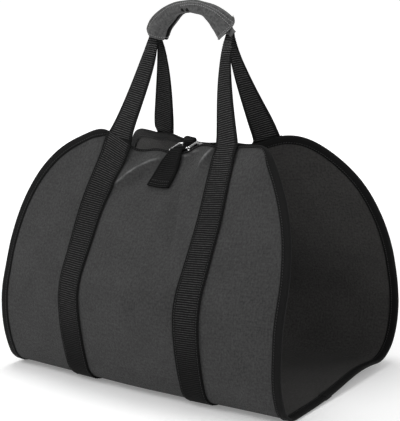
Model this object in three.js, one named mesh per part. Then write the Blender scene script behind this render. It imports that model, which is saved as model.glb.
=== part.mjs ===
import * as THREE from 'three';

// Firewood carrier: one canvas sheet slung in a U, taped all round its edge and carried by two
// webbing straps whose handles meet in a padded grip. Millimetres, +Z up. X runs along the load,
// the near wall is on -Y, and the carrier stands on the floor at Z = 0.

const sheet = { width: 454, length: 1000, thick: 1.8 };
const lobe = { upWall: 200, alongTop: 120 };
const tape = { reach: 11, thick: 1.1, rampFrom: 20, rampTo: 4 };
const strap = { width: 38, thick: 2.2, fromMiddle: 96, leanFrom: 380 };
const gap = 0.35;
const depthShift = -0.1;

const halfWidth = sheet.width / 2;
const halfLength = sheet.length / 2;
const floorLevel = strap.thick + gap + sheet.thick / 2;
const strapStandoff = (sheet.thick + strap.thick) / 2 + gap;
const tapeStandoff = strapStandoff + tape.thick + 2 * gap;

// Half sections of the slung sheet, from the middle of the floor panel to the top edge: the length
// of each run and how far it turns upward, in degrees. The top run takes what is left of the sheet.
const sections = {
  near: {
    middle: {
      floor: 126, corner: 40, cornerTurn: 71, belly: 93, bellyTurn: 10,
      shoulder: 48, shoulderTurn: 43, topTurn: 1,
    },
    end: {
      floor: 118, corner: 40, cornerTurn: 67, belly: 72, bellyTurn: 24,
      shoulder: 41, shoulderTurn: 17, topTurn: 2,
    },
  },
  far: {
    middle: {
      floor: 112, corner: 40, cornerTurn: 74, belly: 70, bellyTurn: 26,
      shoulder: 36, shoulderTurn: 31, topTurn: -17,
    },
    end: {
      floor: 112, corner: 70, cornerTurn: 64, belly: 60, bellyTurn: 35,
      shoulder: 47, shoulderTurn: 13, topTurn: -5,
    },
  },
};
const middleRounding = 0.15;

// How far the top edge drops (or stands up, where negative) around each place along it.
const edgeDrops = [
  { wall: 'near', x: -58, spread: 26, drop: 9 },
  { wall: 'near', x: 0, spread: 22, drop: 4 },
  { wall: 'near', x: 49, spread: 20, drop: -8 },
  { wall: 'near', x: -114, spread: 24, drop: -7 },
  { wall: 'near', x: 140, spread: 30, drop: -3 },
  { wall: 'far', x: -174, spread: 18, drop: -6 },
  { wall: 'far', x: -122, spread: 24, drop: 6.5 },
  { wall: 'far', x: -92, spread: 24, drop: 6 },
  { wall: 'far', x: -32, spread: 32, drop: 5 },
  { wall: 'far', x: 20, spread: 36, drop: 7 },
  { wall: 'far', x: 72, spread: 24, drop: 9 },
  { wall: 'far', x: 140, spread: 30, drop: -3 },
];
const edgeDropFrom = 380;

// Folds and dents: the middle of each on its wall, its direction (0 along X, 90 up the wall), how far
// it runs and spreads either way, and how far it stands out.
const folds = [
  { wall: 'near', x: -46, up: 468, slope: 40, run: 36, spread: 12, height: 4 },
  { wall: 'near', x: -37, up: 448, slope: 40, run: 34, spread: 13, height: -3 },
  { wall: 'near', x: 62, up: 484, slope: 69, run: 26, spread: 12, height: 3.5 },
  { wall: 'near', x: 46, up: 410, slope: 99, run: 90, spread: 26, height: -4 },
  { wall: 'near', x: -150, up: 360, slope: 60, run: 90, spread: 34, height: 3 },
  { wall: 'near', x: 226, up: 236, slope: 90, run: 36, spread: 60, height: -5 },
  { wall: 'far', x: 0, up: 400, slope: 90, run: 90, spread: 30, height: -4 },
  { wall: 'far', x: 168, up: 380, slope: 60, run: 70, spread: 34, height: 4 },
  { wall: 'far', x: 236, up: 72, slope: 90, run: 84, spread: 56, height: -14 },
];

// Handles: the straps leave the top edges, lean together and run on, gathered, through the grip.
const handle = {
  gripY: -16, apartAtEnds: 10, gatheredThick: 4.4, coreWidth: 6.4, coreThick: 8, twist: 12, arriveUp: 0.95,
};

// The four handle legs: how far each leans in up its wall, its pull off the edge, where it meets the
// grip's end, how it leans and pulls there, its turn at both ends and how it gathers.
const legs = [
  {
    wall: 'near', hand: -1, leanIn: 8.6, leave: 37, endX: -2.5, arriveX: -0.07, arriveY: 0.29, arrive: 117,
    turnTop: 10, turnFoot: -4, gathered: 10.5, spreadOut: 0.46,
  },
  {
    wall: 'far', hand: -1, leanIn: 14, leave: 31, endX: -2.8, arriveX: -0.055, arriveY: -0.34, arrive: 136,
    turnTop: 28, turnFoot: 13, gathered: 5, spreadOut: 0.64,
  },
  {
    wall: 'near', hand: 1, leanIn: 5.5, leave: 40, endX: 6, arriveX: 0.056, arriveY: 0.47, arrive: 160,
    turnTop: -10, turnFoot: 4, gathered: 7.7, spreadOut: 0.76,
  },
  {
    wall: 'far', hand: 1, leanIn: 4.7, leave: 61, endX: 1.5, arriveX: 0.177, arriveY: -0.2, arrive: 116,
    turnTop: -9, turnFoot: -20, gathered: 7.5, spreadOut: 0.71,
  },
];

// The grip from its left end over the arch to its right end: its middle line, its height across the
// arch and its depth front to back.
const gripSections = [
  { x: -57, height: 468.5, tall: 26, deep: 29 },
  { x: -50.5, height: 485.5, tall: 26, deep: 29 },
  { x: -37, height: 497.5, tall: 22, deep: 30 },
  { x: -22.5, height: 506.5, tall: 15, deep: 31 },
  { x: -7.5, height: 509.5, tall: 13.5, deep: 32 },
  { x: 9.5, height: 510, tall: 16.5, deep: 32 },
  { x: 27, height: 505.5, tall: 18, deep: 31 },
  { x: 44, height: 495, tall: 25, deep: 30 },
  { x: 58, height: 479.8, tall: 37, deep: 30 },
];
const wrap = {
  thick: 2.2, squareness: 3, endSquareness: 2.4, lap: 50, lapRamp: 40, edgeAtLeft: 350, edgeAtRight: 305,
  leftOuterRound: 7, leftInnerRound: 0.5, rightOuterRound: 5, rightInnerReach: -1, cornerPower: 4,
  rightSlant: 0.36,
};
const gripTab = { wide: 10.5, thick: 1.4, inside: 9, outside: 14, outward: 4.9, kick: 5.8, clearance: 3.45 };

// Closure: a webbing tab from each wall, looped on a pair of wire rings between the top edges.
const closureTab = { hemWidth: 36, loopWidth: 20, loopX: 5, hemUp: 444, tail: 5, slack: 0.55 };
const tabPlaces = {
  near: { hemX: -4, edgeX: 5 },
  far: { hemX: -24, edgeX: -18 },
};
const ring = {
  wire: 3.2, inside: 29.5, cornerRound: 2.4, roll: 10, lowerAside: 5.5,
  x: 2.5, nearY: -52.5, nearZ: 321, farY: -29, farZ: 327,
};

const looks = {
  canvas: { color: 0x3f3f40, roughness: 0.92, metalness: 0 },
  tape: { color: 0x161616, roughness: 0.85, metalness: 0 },
  webbing: { color: 0x1f1f20, roughness: 0.75, metalness: 0 },
  wrap: { color: 0x555557, roughness: 0.9, metalness: 0 },
  metal: { color: 0xd2d3d6, roughness: 0.22, metalness: 1 },
};

const radians = THREE.MathUtils.degToRad;
const lerp = THREE.MathUtils.lerp;
const ease = (value) => THREE.MathUtils.smoothstep(value, 0, 1);
const alongX = new THREE.Vector3(1, 0, 0);

// A point at this distance along a half section: how far out it lies and how high.
function walk(section, distance) {
  const runs = [
    { length: section.floor, turn: 0 },
    { length: section.corner, turn: section.cornerTurn },
    { length: section.belly, turn: section.bellyTurn },
    { length: section.shoulder, turn: section.shoulderTurn },
  ];
  const used = runs.reduce((sum, run) => sum + run.length, 0);
  runs.push({ length: halfLength - used, turn: section.topTurn });
  const place = { out: 0, height: 0 };
  let heading = 0;
  let left = distance;
  runs.forEach((run, index) => {
    const step = index < runs.length - 1 ? Math.min(left, run.length) : left;
    const bend = (radians(run.turn) * step) / run.length;
    const chord = Math.abs(bend) < 1e-9 ? step : ((2 * step) / bend) * Math.sin(bend / 2);
    place.out += chord * Math.cos(heading + bend / 2);
    place.height += chord * Math.sin(heading + bend / 2);
    heading += bend;
    left -= step;
  });
  return place;
}

// How much of the end section a place along X has, 0 in the middle and 1 at the open ends.
function endShare(x) {
  const share = (value) => Math.hypot(value, middleRounding) - middleRounding;
  return share(x / halfWidth) / share(1);
}

// The smooth middle surface of the cloth. Across is measured from the middle of the floor panel,
// negative up the near wall and positive up the far wall.
function smoothCloth(x, across) {
  const wall = across < 0 ? 'near' : 'far';
  const up = Math.abs(across);
  const middle = walk(sections[wall].middle, up);
  const end = walk(sections[wall].end, up);
  const share = endShare(x);
  let height = floorLevel + lerp(middle.height, end.height, share);
  const nearTop = ease((up - edgeDropFrom) / (halfLength - edgeDropFrom));
  for (const row of edgeDrops) {
    if (row.wall === wall) {
      height -= row.drop * nearTop * Math.exp(-(((x - row.x) / row.spread) ** 2));
    }
  }
  return new THREE.Vector3(x, Math.sign(across) * lerp(middle.out, end.out, share), height);
}

function outwardOf(surface, x, across) {
  const step = 0.5;
  const sideways = surface(x + step, across).sub(surface(x - step, across));
  const upward = surface(x, across + step).sub(surface(x, across - step));
  return upward.cross(sideways).normalize();
}

function foldHeight(x, across) {
  let height = 0;
  for (const fold of folds) {
    const turn = radians(fold.slope);
    const dx = x - fold.x;
    const dUp = (fold.wall === 'near' ? -across : across) - fold.up;
    const along = (dx * Math.cos(turn) + dUp * Math.sin(turn)) / fold.run;
    const aside = (dUp * Math.cos(turn) - dx * Math.sin(turn)) / fold.spread;
    height += fold.height * Math.exp(-along * along - aside * aside);
  }
  return height;
}

function cloth(x, across) {
  const outward = outwardOf(smoothCloth, x, across);
  return smoothCloth(x, across).addScaledVector(outward, foldHeight(x, across));
}

function offCloth(x, across, distance) {
  return cloth(x, across).addScaledVector(outwardOf(cloth, x, across), distance);
}

// The lip is the line where the tape's edges lie, this far inside the sheet's own edge.
const lip = {
  halfWidth: halfWidth - tape.reach,
  halfLength: halfLength - tape.reach,
  upWall: lobe.upWall - tape.reach,
  alongTop: lobe.alongTop - tape.reach,
};

// How far up the wall the lip runs at this X: the rounded corners bring it down near the ends.
function lipTop(x) {
  const into = Math.max(0, (Math.abs(x) - (lip.halfWidth - lip.alongTop)) / lip.alongTop);
  return lip.halfLength - lip.upWall + lip.upWall * Math.sqrt(Math.max(0, 1 - into * into));
}

function legAt(side, hand) {
  const wall = side < 0 ? 'near' : 'far';
  return legs.find((leg) => leg.wall === wall && leg.hand === hand);
}

// How far a leg's strap leans in towards the middle at this height up its wall.
function strapLean(leg, up) {
  return leg.leanIn * ease((up - strap.leanFrom) / (lip.halfLength - strap.leanFrom));
}

function strapX(leg, up) {
  return leg.hand * (strap.fromMiddle - strapLean(leg, up));
}

function signedVolume(points, triangles) {
  let volume = 0;
  for (let i = 0; i < triangles.length; i += 3) {
    const [a, b, c] = [0, 1, 2].map((k) => points[triangles[i + k]]);
    volume += a.dot(new THREE.Vector3().crossVectors(b, c));
  }
  return volume;
}

function solid(name, points, triangles, look) {
  const facingOut = signedVolume(points, triangles) < 0 ? triangles.slice().reverse() : triangles;
  const geometry = new THREE.BufferGeometry().setFromPoints(points);
  geometry.setIndex(facingOut);
  geometry.computeVertexNormals();
  const mesh = new THREE.Mesh(geometry, new THREE.MeshStandardMaterial(look));
  mesh.name = name;
  return mesh;
}

// A solid swept through sections of equal point counts. Each section runs along one face and back
// along the other, so that a cap joins opposite points. A closed sweep has no caps.
function sweep(name, rings, look, closed = false) {
  const count = rings[0].length;
  const points = rings.flat();
  const triangles = [];
  const quad = (a, b, c, d) => triangles.push(a, b, c, a, c, d);
  const last = closed ? rings.length : rings.length - 1;
  for (let r = 0; r < last; r += 1) {
    const here = r * count;
    const next = ((r + 1) % rings.length) * count;
    for (let i = 0; i < count; i += 1) {
      const j = (i + 1) % count;
      quad(here + i, here + j, next + j, next + i);
    }
  }
  if (!closed) {
    const end = (rings.length - 1) * count;
    for (let i = 0; i < count / 2 - 1; i += 1) {
      const back = count - 1 - i;
      quad(back, back - 1, i + 1, i);
      quad(end + i, end + i + 1, end + back - 1, end + back);
    }
  }
  return solid(name, points, triangles, look);
}

// Rows up each wall, close together round the floor corner, and columns along X, close together
// round the lobes. Above the lobe's foot the rows squeeze in under the lip.
const lobeFoot = 200;
const topRows = 9;
const floorRows = [0, 40, 80, 108];
const cornerRows = [118, 128, 138, 148, 158, 168, 178];
const lipRows = [...floorRows, ...cornerRows];
for (let step = 0; step <= topRows; step += 1) {
  lipRows.push(lerp(lobeFoot, lip.halfLength, step / topRows));
}
const sheetRows = [...lipRows.slice(1).reverse().map((up) => -up), ...lipRows];

const bandColumns = [-0.5, 0, 0.5];
const middleColumns = [0, 19, 38, 58];
const strapColumns = bandColumns.map((column) => strap.fromMiddle + column * strap.width);
const halfColumns = [...middleColumns, ...strapColumns];
const lobeSteps = 6;
for (let step = 1; step <= lobeSteps; step += 1) {
  const turn = (step / lobeSteps) * (Math.PI / 2);
  halfColumns.push(lip.halfWidth - lip.alongTop + lip.alongTop * Math.sin(turn));
}
const sheetColumns = [...halfColumns.slice(1).reverse().map((x) => -x), ...halfColumns];

// A grid place on the sheet: how far along X and how far across. The columns under a strap lean in
// with it.
function sheetPlace(column, row) {
  const underStrap = Math.abs(Math.abs(column) - strap.fromMiddle) < strap.width / 2 + gap;
  const up = Math.abs(row);
  const hand = Math.sign(column);
  const x = underStrap ? column - hand * strapLean(legAt(Math.sign(row), hand), up) : column;
  if (up <= lobeFoot) {
    return new THREE.Vector2(x, row);
  }
  const share = (up - lobeFoot) / (lip.halfLength - lobeFoot);
  return new THREE.Vector2(x, Math.sign(row) * lerp(lobeFoot, lipTop(column), share));
}

// The taped margin, once round: near top edge, right end, far top edge, left end. Each place has its
// number in the grid, its lip, and the rim of the sheet straight out from it.
function tapedMargin() {
  const across = sheetColumns.length;
  const lastRow = sheetRows.length - 1;
  const lastColumn = across - 1;
  const places = [];
  const add = (row, column) => {
    const lipPlace = sheetPlace(sheetColumns[column], sheetRows[row]);
    places.push({ number: row * across + column, lip: lipPlace });
  };
  for (let column = 0; column < lastColumn; column += 1) {
    add(0, column);
  }
  for (let row = 0; row < lastRow; row += 1) {
    add(row, lastColumn);
  }
  for (let column = lastColumn; column > 0; column -= 1) {
    add(lastRow, column);
  }
  for (let row = lastRow; row > 0; row -= 1) {
    add(row, 0);
  }
  places.forEach((place, index) => {
    const before = places[(index + places.length - 1) % places.length].lip;
    const after = places[(index + 1) % places.length].lip;
    const along = after.clone().sub(before).normalize();
    place.rim = new THREE.Vector2(along.y, -along.x).multiplyScalar(tape.reach).add(place.lip);
  });
  return places;
}

function canvasBody() {
  const across = sheetColumns.length;
  const margin = tapedMargin();
  const points = [];
  for (const side of [1, -1]) {
    const distance = (side * sheet.thick) / 2;
    for (const row of sheetRows) {
      for (const column of sheetColumns) {
        const place = sheetPlace(column, row);
        points.push(offCloth(place.x, place.y, distance));
      }
    }
    for (const { rim } of margin) {
      points.push(offCloth(rim.x, rim.y, distance));
    }
  }
  const grid = sheetRows.length * across;
  const layer = grid + margin.length;
  const triangles = [];
  const quad = (a, b, c, d) => triangles.push(a, b, c, a, c, d);
  for (let r = 0; r < sheetRows.length - 1; r += 1) {
    for (let c = 0; c < across - 1; c += 1) {
      const a = r * across + c;
      quad(a + 1, a, a + across, a + across + 1);
      quad(layer + a + 1, layer + a + across + 1, layer + a + across, layer + a);
    }
  }
  margin.forEach(({ number }, index) => {
    const following = (index + 1) % margin.length;
    const nextNumber = margin[following].number;
    const rim = grid + index;
    const nextRim = grid + following;
    quad(number, nextNumber, nextRim, rim);
    quad(layer + rim, layer + nextRim, layer + nextNumber, layer + number);
    quad(rim, nextRim, layer + nextRim, layer + rim);
  });
  return solid('canvas_body', points, triangles, looks.canvas);
}

function edgeBinding() {
  const inner = sheet.thick / 2 + gap;
  const outer = inner + tape.thick;
  const rings = tapedMargin().map((place) => {
    const lipPoint = cloth(place.lip.x, place.lip.y);
    const lipOut = outwardOf(cloth, place.lip.x, place.lip.y);
    const rimPoint = cloth(place.rim.x, place.rim.y);
    const rimOut = outwardOf(cloth, place.rim.x, place.rim.y);
    const away = rimPoint.clone().sub(lipPoint).normalize();
    const atLip = (height) => lipPoint.clone().addScaledVector(lipOut, height);
    const atRim = (reach, height) =>
      rimPoint.clone().addScaledVector(away, reach).addScaledVector(rimOut, height);
    return [
      atLip(outer),
      atLip(inner),
      atRim(gap, inner),
      atRim(gap, -inner),
      atLip(-inner),
      atLip(-outer),
      atRim(gap + tape.thick, -outer),
      atRim(gap + tape.thick, outer),
    ];
  });
  return sweep('edge_binding', rings, looks.tape, true);
}

// A flat band's section: points across its outer face, then back across its inner face.
function bandSection(points, normals, thick) {
  const face = (side) => points.map((p, i) => p.clone().addScaledVector(normals[i], (side * thick) / 2));
  return [...face(1), ...face(-1).reverse()];
}

function hermite(from, fromPull, to, toPull, t) {
  const t2 = t * t;
  const t3 = t2 * t;
  return new THREE.Vector3()
    .addScaledVector(from, 2 * t3 - 3 * t2 + 1)
    .addScaledVector(fromPull, t3 - 2 * t2 + t)
    .addScaledVector(to, 3 * t2 - 2 * t3)
    .addScaledVector(toPull, t3 - t2);
}

// A strap stands further off the cloth where it climbs onto the tape, just below the lip.
function standoffAt(up) {
  const belowLip = lip.halfLength - up;
  const share = ease((tape.rampFrom - belowLip) / (tape.rampFrom - tape.rampTo));
  return lerp(strapStandoff, tapeStandoff, share);
}

// A smooth value from a table of sections, 0 at its first row and 1 at its last.
function fromSections(rows, column, share) {
  const last = rows.length - 1;
  const place = share * last;
  const index = Math.min(last - 1, Math.max(0, Math.floor(place)));
  const value = (k) => rows[Math.min(last, Math.max(0, k))][column];
  const before = value(index - 1);
  const from = value(index);
  const to = value(index + 1);
  const after = value(index + 2);
  const t = place - index;
  const cubic = 3 * (from - to) + after - before;
  const square = 2 * before - 5 * from + 4 * to - after;
  return from + (t / 2) * (to - before + t * (square + t * cubic));
}

// The handle arch from the grip's left end (-1) over the top to its right end (1), at a given Y.
function archPoint(at, y) {
  const share = (at + 1) / 2;
  return new THREE.Vector3(
    fromSections(gripSections, 'x', share), y, fromSections(gripSections, 'height', share),
  );
}

// A leg turns freely this far above the edge, as a share of its length, and keeps its own line and turn
// a little way into the grip.
const freeTurn = 0.3;
const nearGripEnd = (past) => ease((past - 0.5) / 0.5);

// One strap: up its wall on the left, over as a handle, and down its wall on the right. Side is -1
// for the near wall and 1 for the far wall.
function webbingStrap(name, side) {
  const outwardAtGrip = new THREE.Vector3(0, side, 0);

  function wallStation(hand, up) {
    const across = side * up;
    const middle = strapX(legAt(side, hand), up);
    const places = bandColumns.map((column) => middle - side * hand * column * strap.width);
    const centres = places.map((x) => offCloth(x, across, standoffAt(up)));
    const normals = places.map((x) => outwardOf(cloth, x, across));
    return bandSection(centres, normals, strap.thick);
  }

  function handleCentre(along) {
    const past = Math.abs(along);
    const hand = along < 0 ? -1 : 1;
    const leg = legAt(side, hand);
    const apart = lerp(handle.coreThick + gap, handle.apartAtEnds, ease(past)) / 2;
    if (past <= 1) {
      const centre = archPoint(along, handle.gripY + side * apart);
      centre.x += leg.endX * nearGripEnd(past);
      return centre;
    }
    const top = offCloth(strapX(leg, halfLength), side * halfLength, tapeStandoff);
    const below = offCloth(strapX(leg, lip.halfLength), side * lip.halfLength, tapeStandoff);
    const leave = top.clone().sub(below).setLength(leg.leave);
    const end = archPoint(hand, handle.gripY + (side * handle.apartAtEnds) / 2);
    end.x += leg.endX;
    const arrive = new THREE.Vector3(leg.arriveX, leg.arriveY, handle.arriveUp);
    return hermite(top, leave, end, arrive.multiplyScalar(leg.arrive), 2 - past);
  }

  function handleStation(along) {
    const step = 0.01;
    const past = Math.abs(along);
    const hand = along < 0 ? -1 : 1;
    const leg = legAt(side, hand);
    const inner = Math.max(-2, along - step);
    const outer = Math.min(2, along + step);
    const forward = handleCentre(outer).sub(handleCentre(inner)).normalize();
    const wallOutward = outwardOf(cloth, strapX(leg, halfLength), side * halfLength);
    const facing = outwardAtGrip.clone().lerp(wallOutward, Math.max(0, past - 1) ** 2);
    const width = past > 1
      ? lerp(leg.gathered, strap.width, ease((past - 1) ** leg.spreadOut))
      : lerp(handle.coreWidth, leg.gathered, ease(past));
    const thick = past > 1
      ? Math.min((strap.width * strap.thick) / width, handle.gatheredThick)
      : lerp(handle.coreThick, handle.gatheredThick, ease(past));
    const turn = past > 1
      ? lerp(leg.turnTop, leg.turnFoot, past - 1) * ease((2 - past) / freeTurn)
        + handle.twist * hand * Math.sin((past - 1) * Math.PI)
      : leg.turnTop * nearGripEnd(past);
    const sideways = facing.cross(forward).normalize().applyAxisAngle(forward, radians(turn));
    const normal = new THREE.Vector3().crossVectors(forward, sideways);
    const centre = handleCentre(along);
    const centres = bandColumns.map((column) => centre.clone().addScaledVector(sideways, column * width));
    return bandSection(centres, centres.map(() => normal), thick);
  }

  const climb = [...lipRows, halfLength].map((up) => Math.max(up, gap / 2));
  const legSteps = 8;
  const archSteps = 6;
  const places = [];
  for (let step = 1; step <= legSteps; step += 1) {
    places.push(-2 + step / legSteps);
  }
  for (let step = 1; step <= archSteps; step += 1) {
    places.push(-1 + step / archSteps);
  }
  const handlePlaces = [...places, ...places.slice(0, -1).reverse().map((along) => -along)];
  const rings = [
    ...climb.map((up) => wallStation(-1, up)),
    ...handlePlaces.map(handleStation),
    ...climb.slice().reverse().map((up) => wallStation(1, up)),
  ];
  return sweep(name, rings, looks.webbing);
}

// The frame of the grip at a place on the arch: its middle, the way along it and the way out of it.
function gripFrame(at) {
  const step = 0.01;
  const middle = archPoint(at, handle.gripY);
  const forward = archPoint(at + step, handle.gripY).sub(archPoint(at - step, handle.gripY)).normalize();
  const outward = new THREE.Vector3(0, -1, 0).cross(forward).normalize();
  return { middle, forward, outward };
}

// The padded panel rolled round both handles: from the near face over the arch, under it, and up over
// its own first edge. Its last edge runs along the top at the left and comes down at the right.
function gripWrap() {
  const stations = 17;
  const around = 24;
  const rings = [];
  for (let station = 0; station < stations; station += 1) {
    const share = station / (stations - 1);
    const atEnd = share === 0 || share === 1;
    const { middle, forward, outward } = gripFrame(2 * share - 1);
    const size = {
      tall: fromSections(gripSections, 'tall', share),
      deep: fromSections(gripSections, 'deep', share),
    };
    const startAngle = lerp(wrap.edgeAtLeft, wrap.edgeAtRight, ease(share)) - wrap.lap;
    const pointAt = (turn, depth) => {
      const angle = radians(startAngle + turn);
      const tall = Math.cos(angle);
      const deep = Math.sin(angle);
      const a = size.tall / 2 - depth;
      const b = size.deep / 2 - depth;
      const power = atEnd ? wrap.endSquareness : wrap.squareness;
      const reach = (Math.abs(tall / a) ** power + Math.abs(deep / b) ** power) ** (-1 / power);
      const corner = (Math.abs(tall * reach) / (size.tall / 2)) ** wrap.cornerPower;
      const leftRound = tall > 0 ? wrap.leftOuterRound : wrap.leftInnerRound;
      const rightReach = tall > 0 ? -wrap.rightOuterRound : wrap.rightInnerReach;
      const leftShift = share === 0 ? leftRound * corner : 0;
      const rightShift = share === 1 ? rightReach * corner - wrap.rightSlant * deep * reach : 0;
      return middle.clone()
        .addScaledVector(outward, tall * reach)
        .addScaledVector(new THREE.Vector3(0, 1, 0), deep * reach)
        .addScaledVector(forward, leftShift + rightShift);
    };
    const outer = [];
    const inner = [];
    for (let step = 0; step <= around; step += 1) {
      const turn = (step / around) * (360 + wrap.lap);
      const lift = (wrap.thick + gap) * ease((turn - (360 - wrap.lapRamp)) / wrap.lapRamp);
      outer.push(pointAt(turn, -lift));
      inner.push(pointAt(turn, wrap.thick - lift));
    }
    rings.push([...outer, ...inner.reverse()]);
  }
  return sweep('grip_wrap', rings, looks.wrap);
}

// A small tab that shows under the wrap's right end, against the near face of the gathered strap.
function gripTabPiece() {
  const right = gripSections[gripSections.length - 1];
  const { middle, forward, outward } = gripFrame(1);
  const hollow = right.deep / 2 - wrap.thick;
  const inWrap = hollow - gripTab.clearance - gripTab.thick / 2;
  const places = [
    { along: -gripTab.inside, front: inWrap },
    { along: 0, front: inWrap },
    { along: gripTab.outside, front: inWrap + gripTab.kick },
  ];
  const rings = places.map(({ along, front }) => {
    const centre = middle.clone().addScaledVector(forward, along).addScaledVector(outward, gripTab.outward);
    centre.y = handle.gripY - front;
    const centres = bandColumns.map((column) =>
      centre.clone().addScaledVector(outward, column * gripTab.wide));
    const normals = centres.map(() => new THREE.Vector3(0, -1, 0));
    return bandSection(centres, normals, gripTab.thick);
  });
  return sweep('grip_tab', rings, looks.wrap);
}

// The pair of rings lies between its near and far bars, the lower one under the upper and a little aside.
const ringNear = new THREE.Vector3(ring.x, ring.nearY, ring.nearZ);
const ringFar = new THREE.Vector3(ring.x, ring.farY, ring.farZ);
const ringAlong = ringFar.clone().sub(ringNear).normalize();
const ringAcross = alongX.clone().applyAxisAngle(ringAlong, radians(-ring.roll));
const ringUp = new THREE.Vector3().crossVectors(ringAcross, ringAlong);
const ringDrop = ring.wire + gap;

function closureRing(name, drop, aside) {
  const halfAcross = (ring.inside + ring.wire) / 2;
  const halfAlong = ringNear.distanceTo(ringFar) / 2;
  const middle = ringNear.clone().lerp(ringFar, 0.5);
  middle.addScaledVector(ringUp, -drop).addScaledVector(ringAcross, aside);
  const cornerSteps = 3;
  const wireSides = 8;
  const rings = [];
  for (let corner = 0; corner < 4; corner += 1) {
    const signX = corner === 0 || corner === 3 ? 1 : -1;
    const signY = corner < 2 ? 1 : -1;
    for (let step = 0; step <= cornerSteps; step += 1) {
      const turn = (corner + step / cornerSteps) * (Math.PI / 2);
      const outX = Math.cos(turn);
      const outY = Math.sin(turn);
      const placeX = signX * (halfAcross - ring.cornerRound) + ring.cornerRound * outX;
      const placeY = signY * (halfAlong - ring.cornerRound) + ring.cornerRound * outY;
      const centre = middle.clone().addScaledVector(ringAcross, placeX).addScaledVector(ringAlong, placeY);
      const away = ringAcross.clone().multiplyScalar(outX).addScaledVector(ringAlong, outY);
      const section = [];
      for (let k = 0; k < wireSides; k += 1) {
        const spin = (k / wireSides) * 2 * Math.PI;
        section.push(centre.clone()
          .addScaledVector(away, (Math.cos(spin) * ring.wire) / 2)
          .addScaledVector(ringUp, (Math.sin(spin) * ring.wire) / 2));
      }
      rings.push(section);
    }
  }
  return sweep(name, rings, looks.metal, true);
}

// Places along a closure tab: shares of its climb, then turns over the edge and round the ring bars.
const climbShares = [0, 0.25, 0.5, 0.75, 0.95];
const edgeTurns = [20, 55, 90];
const loopTurns = [100, 60, 20, -20, -60, -90];

// One closure tab: up its wall from the hem, over the taped edge, over and round both ring bars, and
// back under them to its tail.
function closureTabPiece(name, side) {
  const place = side < 0 ? tabPlaces.near : tabPlaces.far;
  const bar = (side < 0 ? ringNear : ringFar).clone();
  bar.addScaledVector(ringAcross, closureTab.loopX - ring.x);
  const inward = ringAlong.clone().multiplyScalar(-side);
  const loopRadius = ring.wire / 2 + gap + strap.thick / 2;
  const overTape = tape.thick + 2 * gap + strap.thick / 2 + closureTab.slack;
  const climb = halfLength - closureTab.hemUp;
  const stations = [];

  const columnsAt = (share) => {
    const width = lerp(closureTab.hemWidth, closureTab.loopWidth, share);
    const middle = lerp(place.hemX, place.edgeX, share);
    return bandColumns.map((column) => middle - side * column * width);
  };
  for (const share of climbShares) {
    const up = closureTab.hemUp + share * climb;
    const places = columnsAt(share);
    const centres = places.map((x) => offCloth(x, side * up, standoffAt(up) + closureTab.slack));
    const normals = places.map((x) => outwardOf(cloth, x, side * up));
    stations.push(bandSection(centres, normals, strap.thick));
  }
  for (const turn of edgeTurns) {
    const lean = radians(turn);
    const normals = [];
    const centres = columnsAt(1).map((x) => {
      const edge = cloth(x, side * halfLength);
      const edgeOut = outwardOf(cloth, x, side * halfLength);
      const edgeUp = edge.clone().sub(cloth(x, side * lip.halfLength)).normalize();
      normals.push(edgeOut.clone().multiplyScalar(Math.cos(lean)).addScaledVector(edgeUp, Math.sin(lean)));
      return edge
        .addScaledVector(edgeOut, (tapeStandoff + closureTab.slack) * Math.cos(lean))
        .addScaledVector(edgeUp, overTape);
    });
    stations.push(bandSection(centres, normals, strap.thick));
  }

  const flatStation = (centre, normal) => {
    const centres = bandColumns.map((column) =>
      centre.clone().addScaledVector(ringAcross, -side * column * closureTab.loopWidth));
    stations.push(bandSection(centres, centres.map(() => normal), strap.thick));
  };
  for (const turn of loopTurns) {
    const lean = radians(turn);
    const normal = inward.clone().multiplyScalar(Math.cos(lean)).addScaledVector(ringUp, Math.sin(lean));
    const centre = bar.clone().addScaledVector(normal, loopRadius);
    if (turn < 0) {
      centre.addScaledVector(ringUp, -ringDrop);
    }
    flatStation(centre, normal);
  }
  const tailEnd = bar.clone().addScaledVector(ringUp, -ringDrop - loopRadius);
  tailEnd.addScaledVector(inward, -closureTab.tail);
  flatStation(tailEnd, ringUp.clone().negate());
  return sweep(name, stations, looks.webbing);
}

const carrier = new THREE.Group();
carrier.add(
  canvasBody(),
  edgeBinding(),
  webbingStrap('front_webbing', -1),
  webbingStrap('back_webbing', 1),
  gripWrap(),
  gripTabPiece(),
  closureTabPiece('closure_tab_front', -1),
  closureTabPiece('closure_tab_back', 1),
  closureRing('closure_ring_upper', 0, 0),
  closureRing('closure_ring_lower', ringDrop, ring.lowerAside),
);
carrier.position.y = depthShift;

export default carrier;
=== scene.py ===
import bpy
import math
import numpy as np
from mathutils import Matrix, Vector


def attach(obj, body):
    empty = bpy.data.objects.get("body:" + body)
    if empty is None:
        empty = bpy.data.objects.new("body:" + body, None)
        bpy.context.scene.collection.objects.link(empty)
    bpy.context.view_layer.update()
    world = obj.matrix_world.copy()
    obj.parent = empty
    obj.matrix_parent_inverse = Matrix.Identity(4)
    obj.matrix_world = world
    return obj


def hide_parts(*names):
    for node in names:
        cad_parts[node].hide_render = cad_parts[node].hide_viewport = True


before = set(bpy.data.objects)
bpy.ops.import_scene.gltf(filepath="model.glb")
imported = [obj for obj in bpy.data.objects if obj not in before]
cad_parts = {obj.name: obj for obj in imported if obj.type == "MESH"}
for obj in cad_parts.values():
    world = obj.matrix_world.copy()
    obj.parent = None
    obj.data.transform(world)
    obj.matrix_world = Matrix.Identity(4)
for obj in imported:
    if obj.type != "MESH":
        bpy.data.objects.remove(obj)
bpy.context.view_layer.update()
print("frame loaded:", len(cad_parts), "solids")

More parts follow.
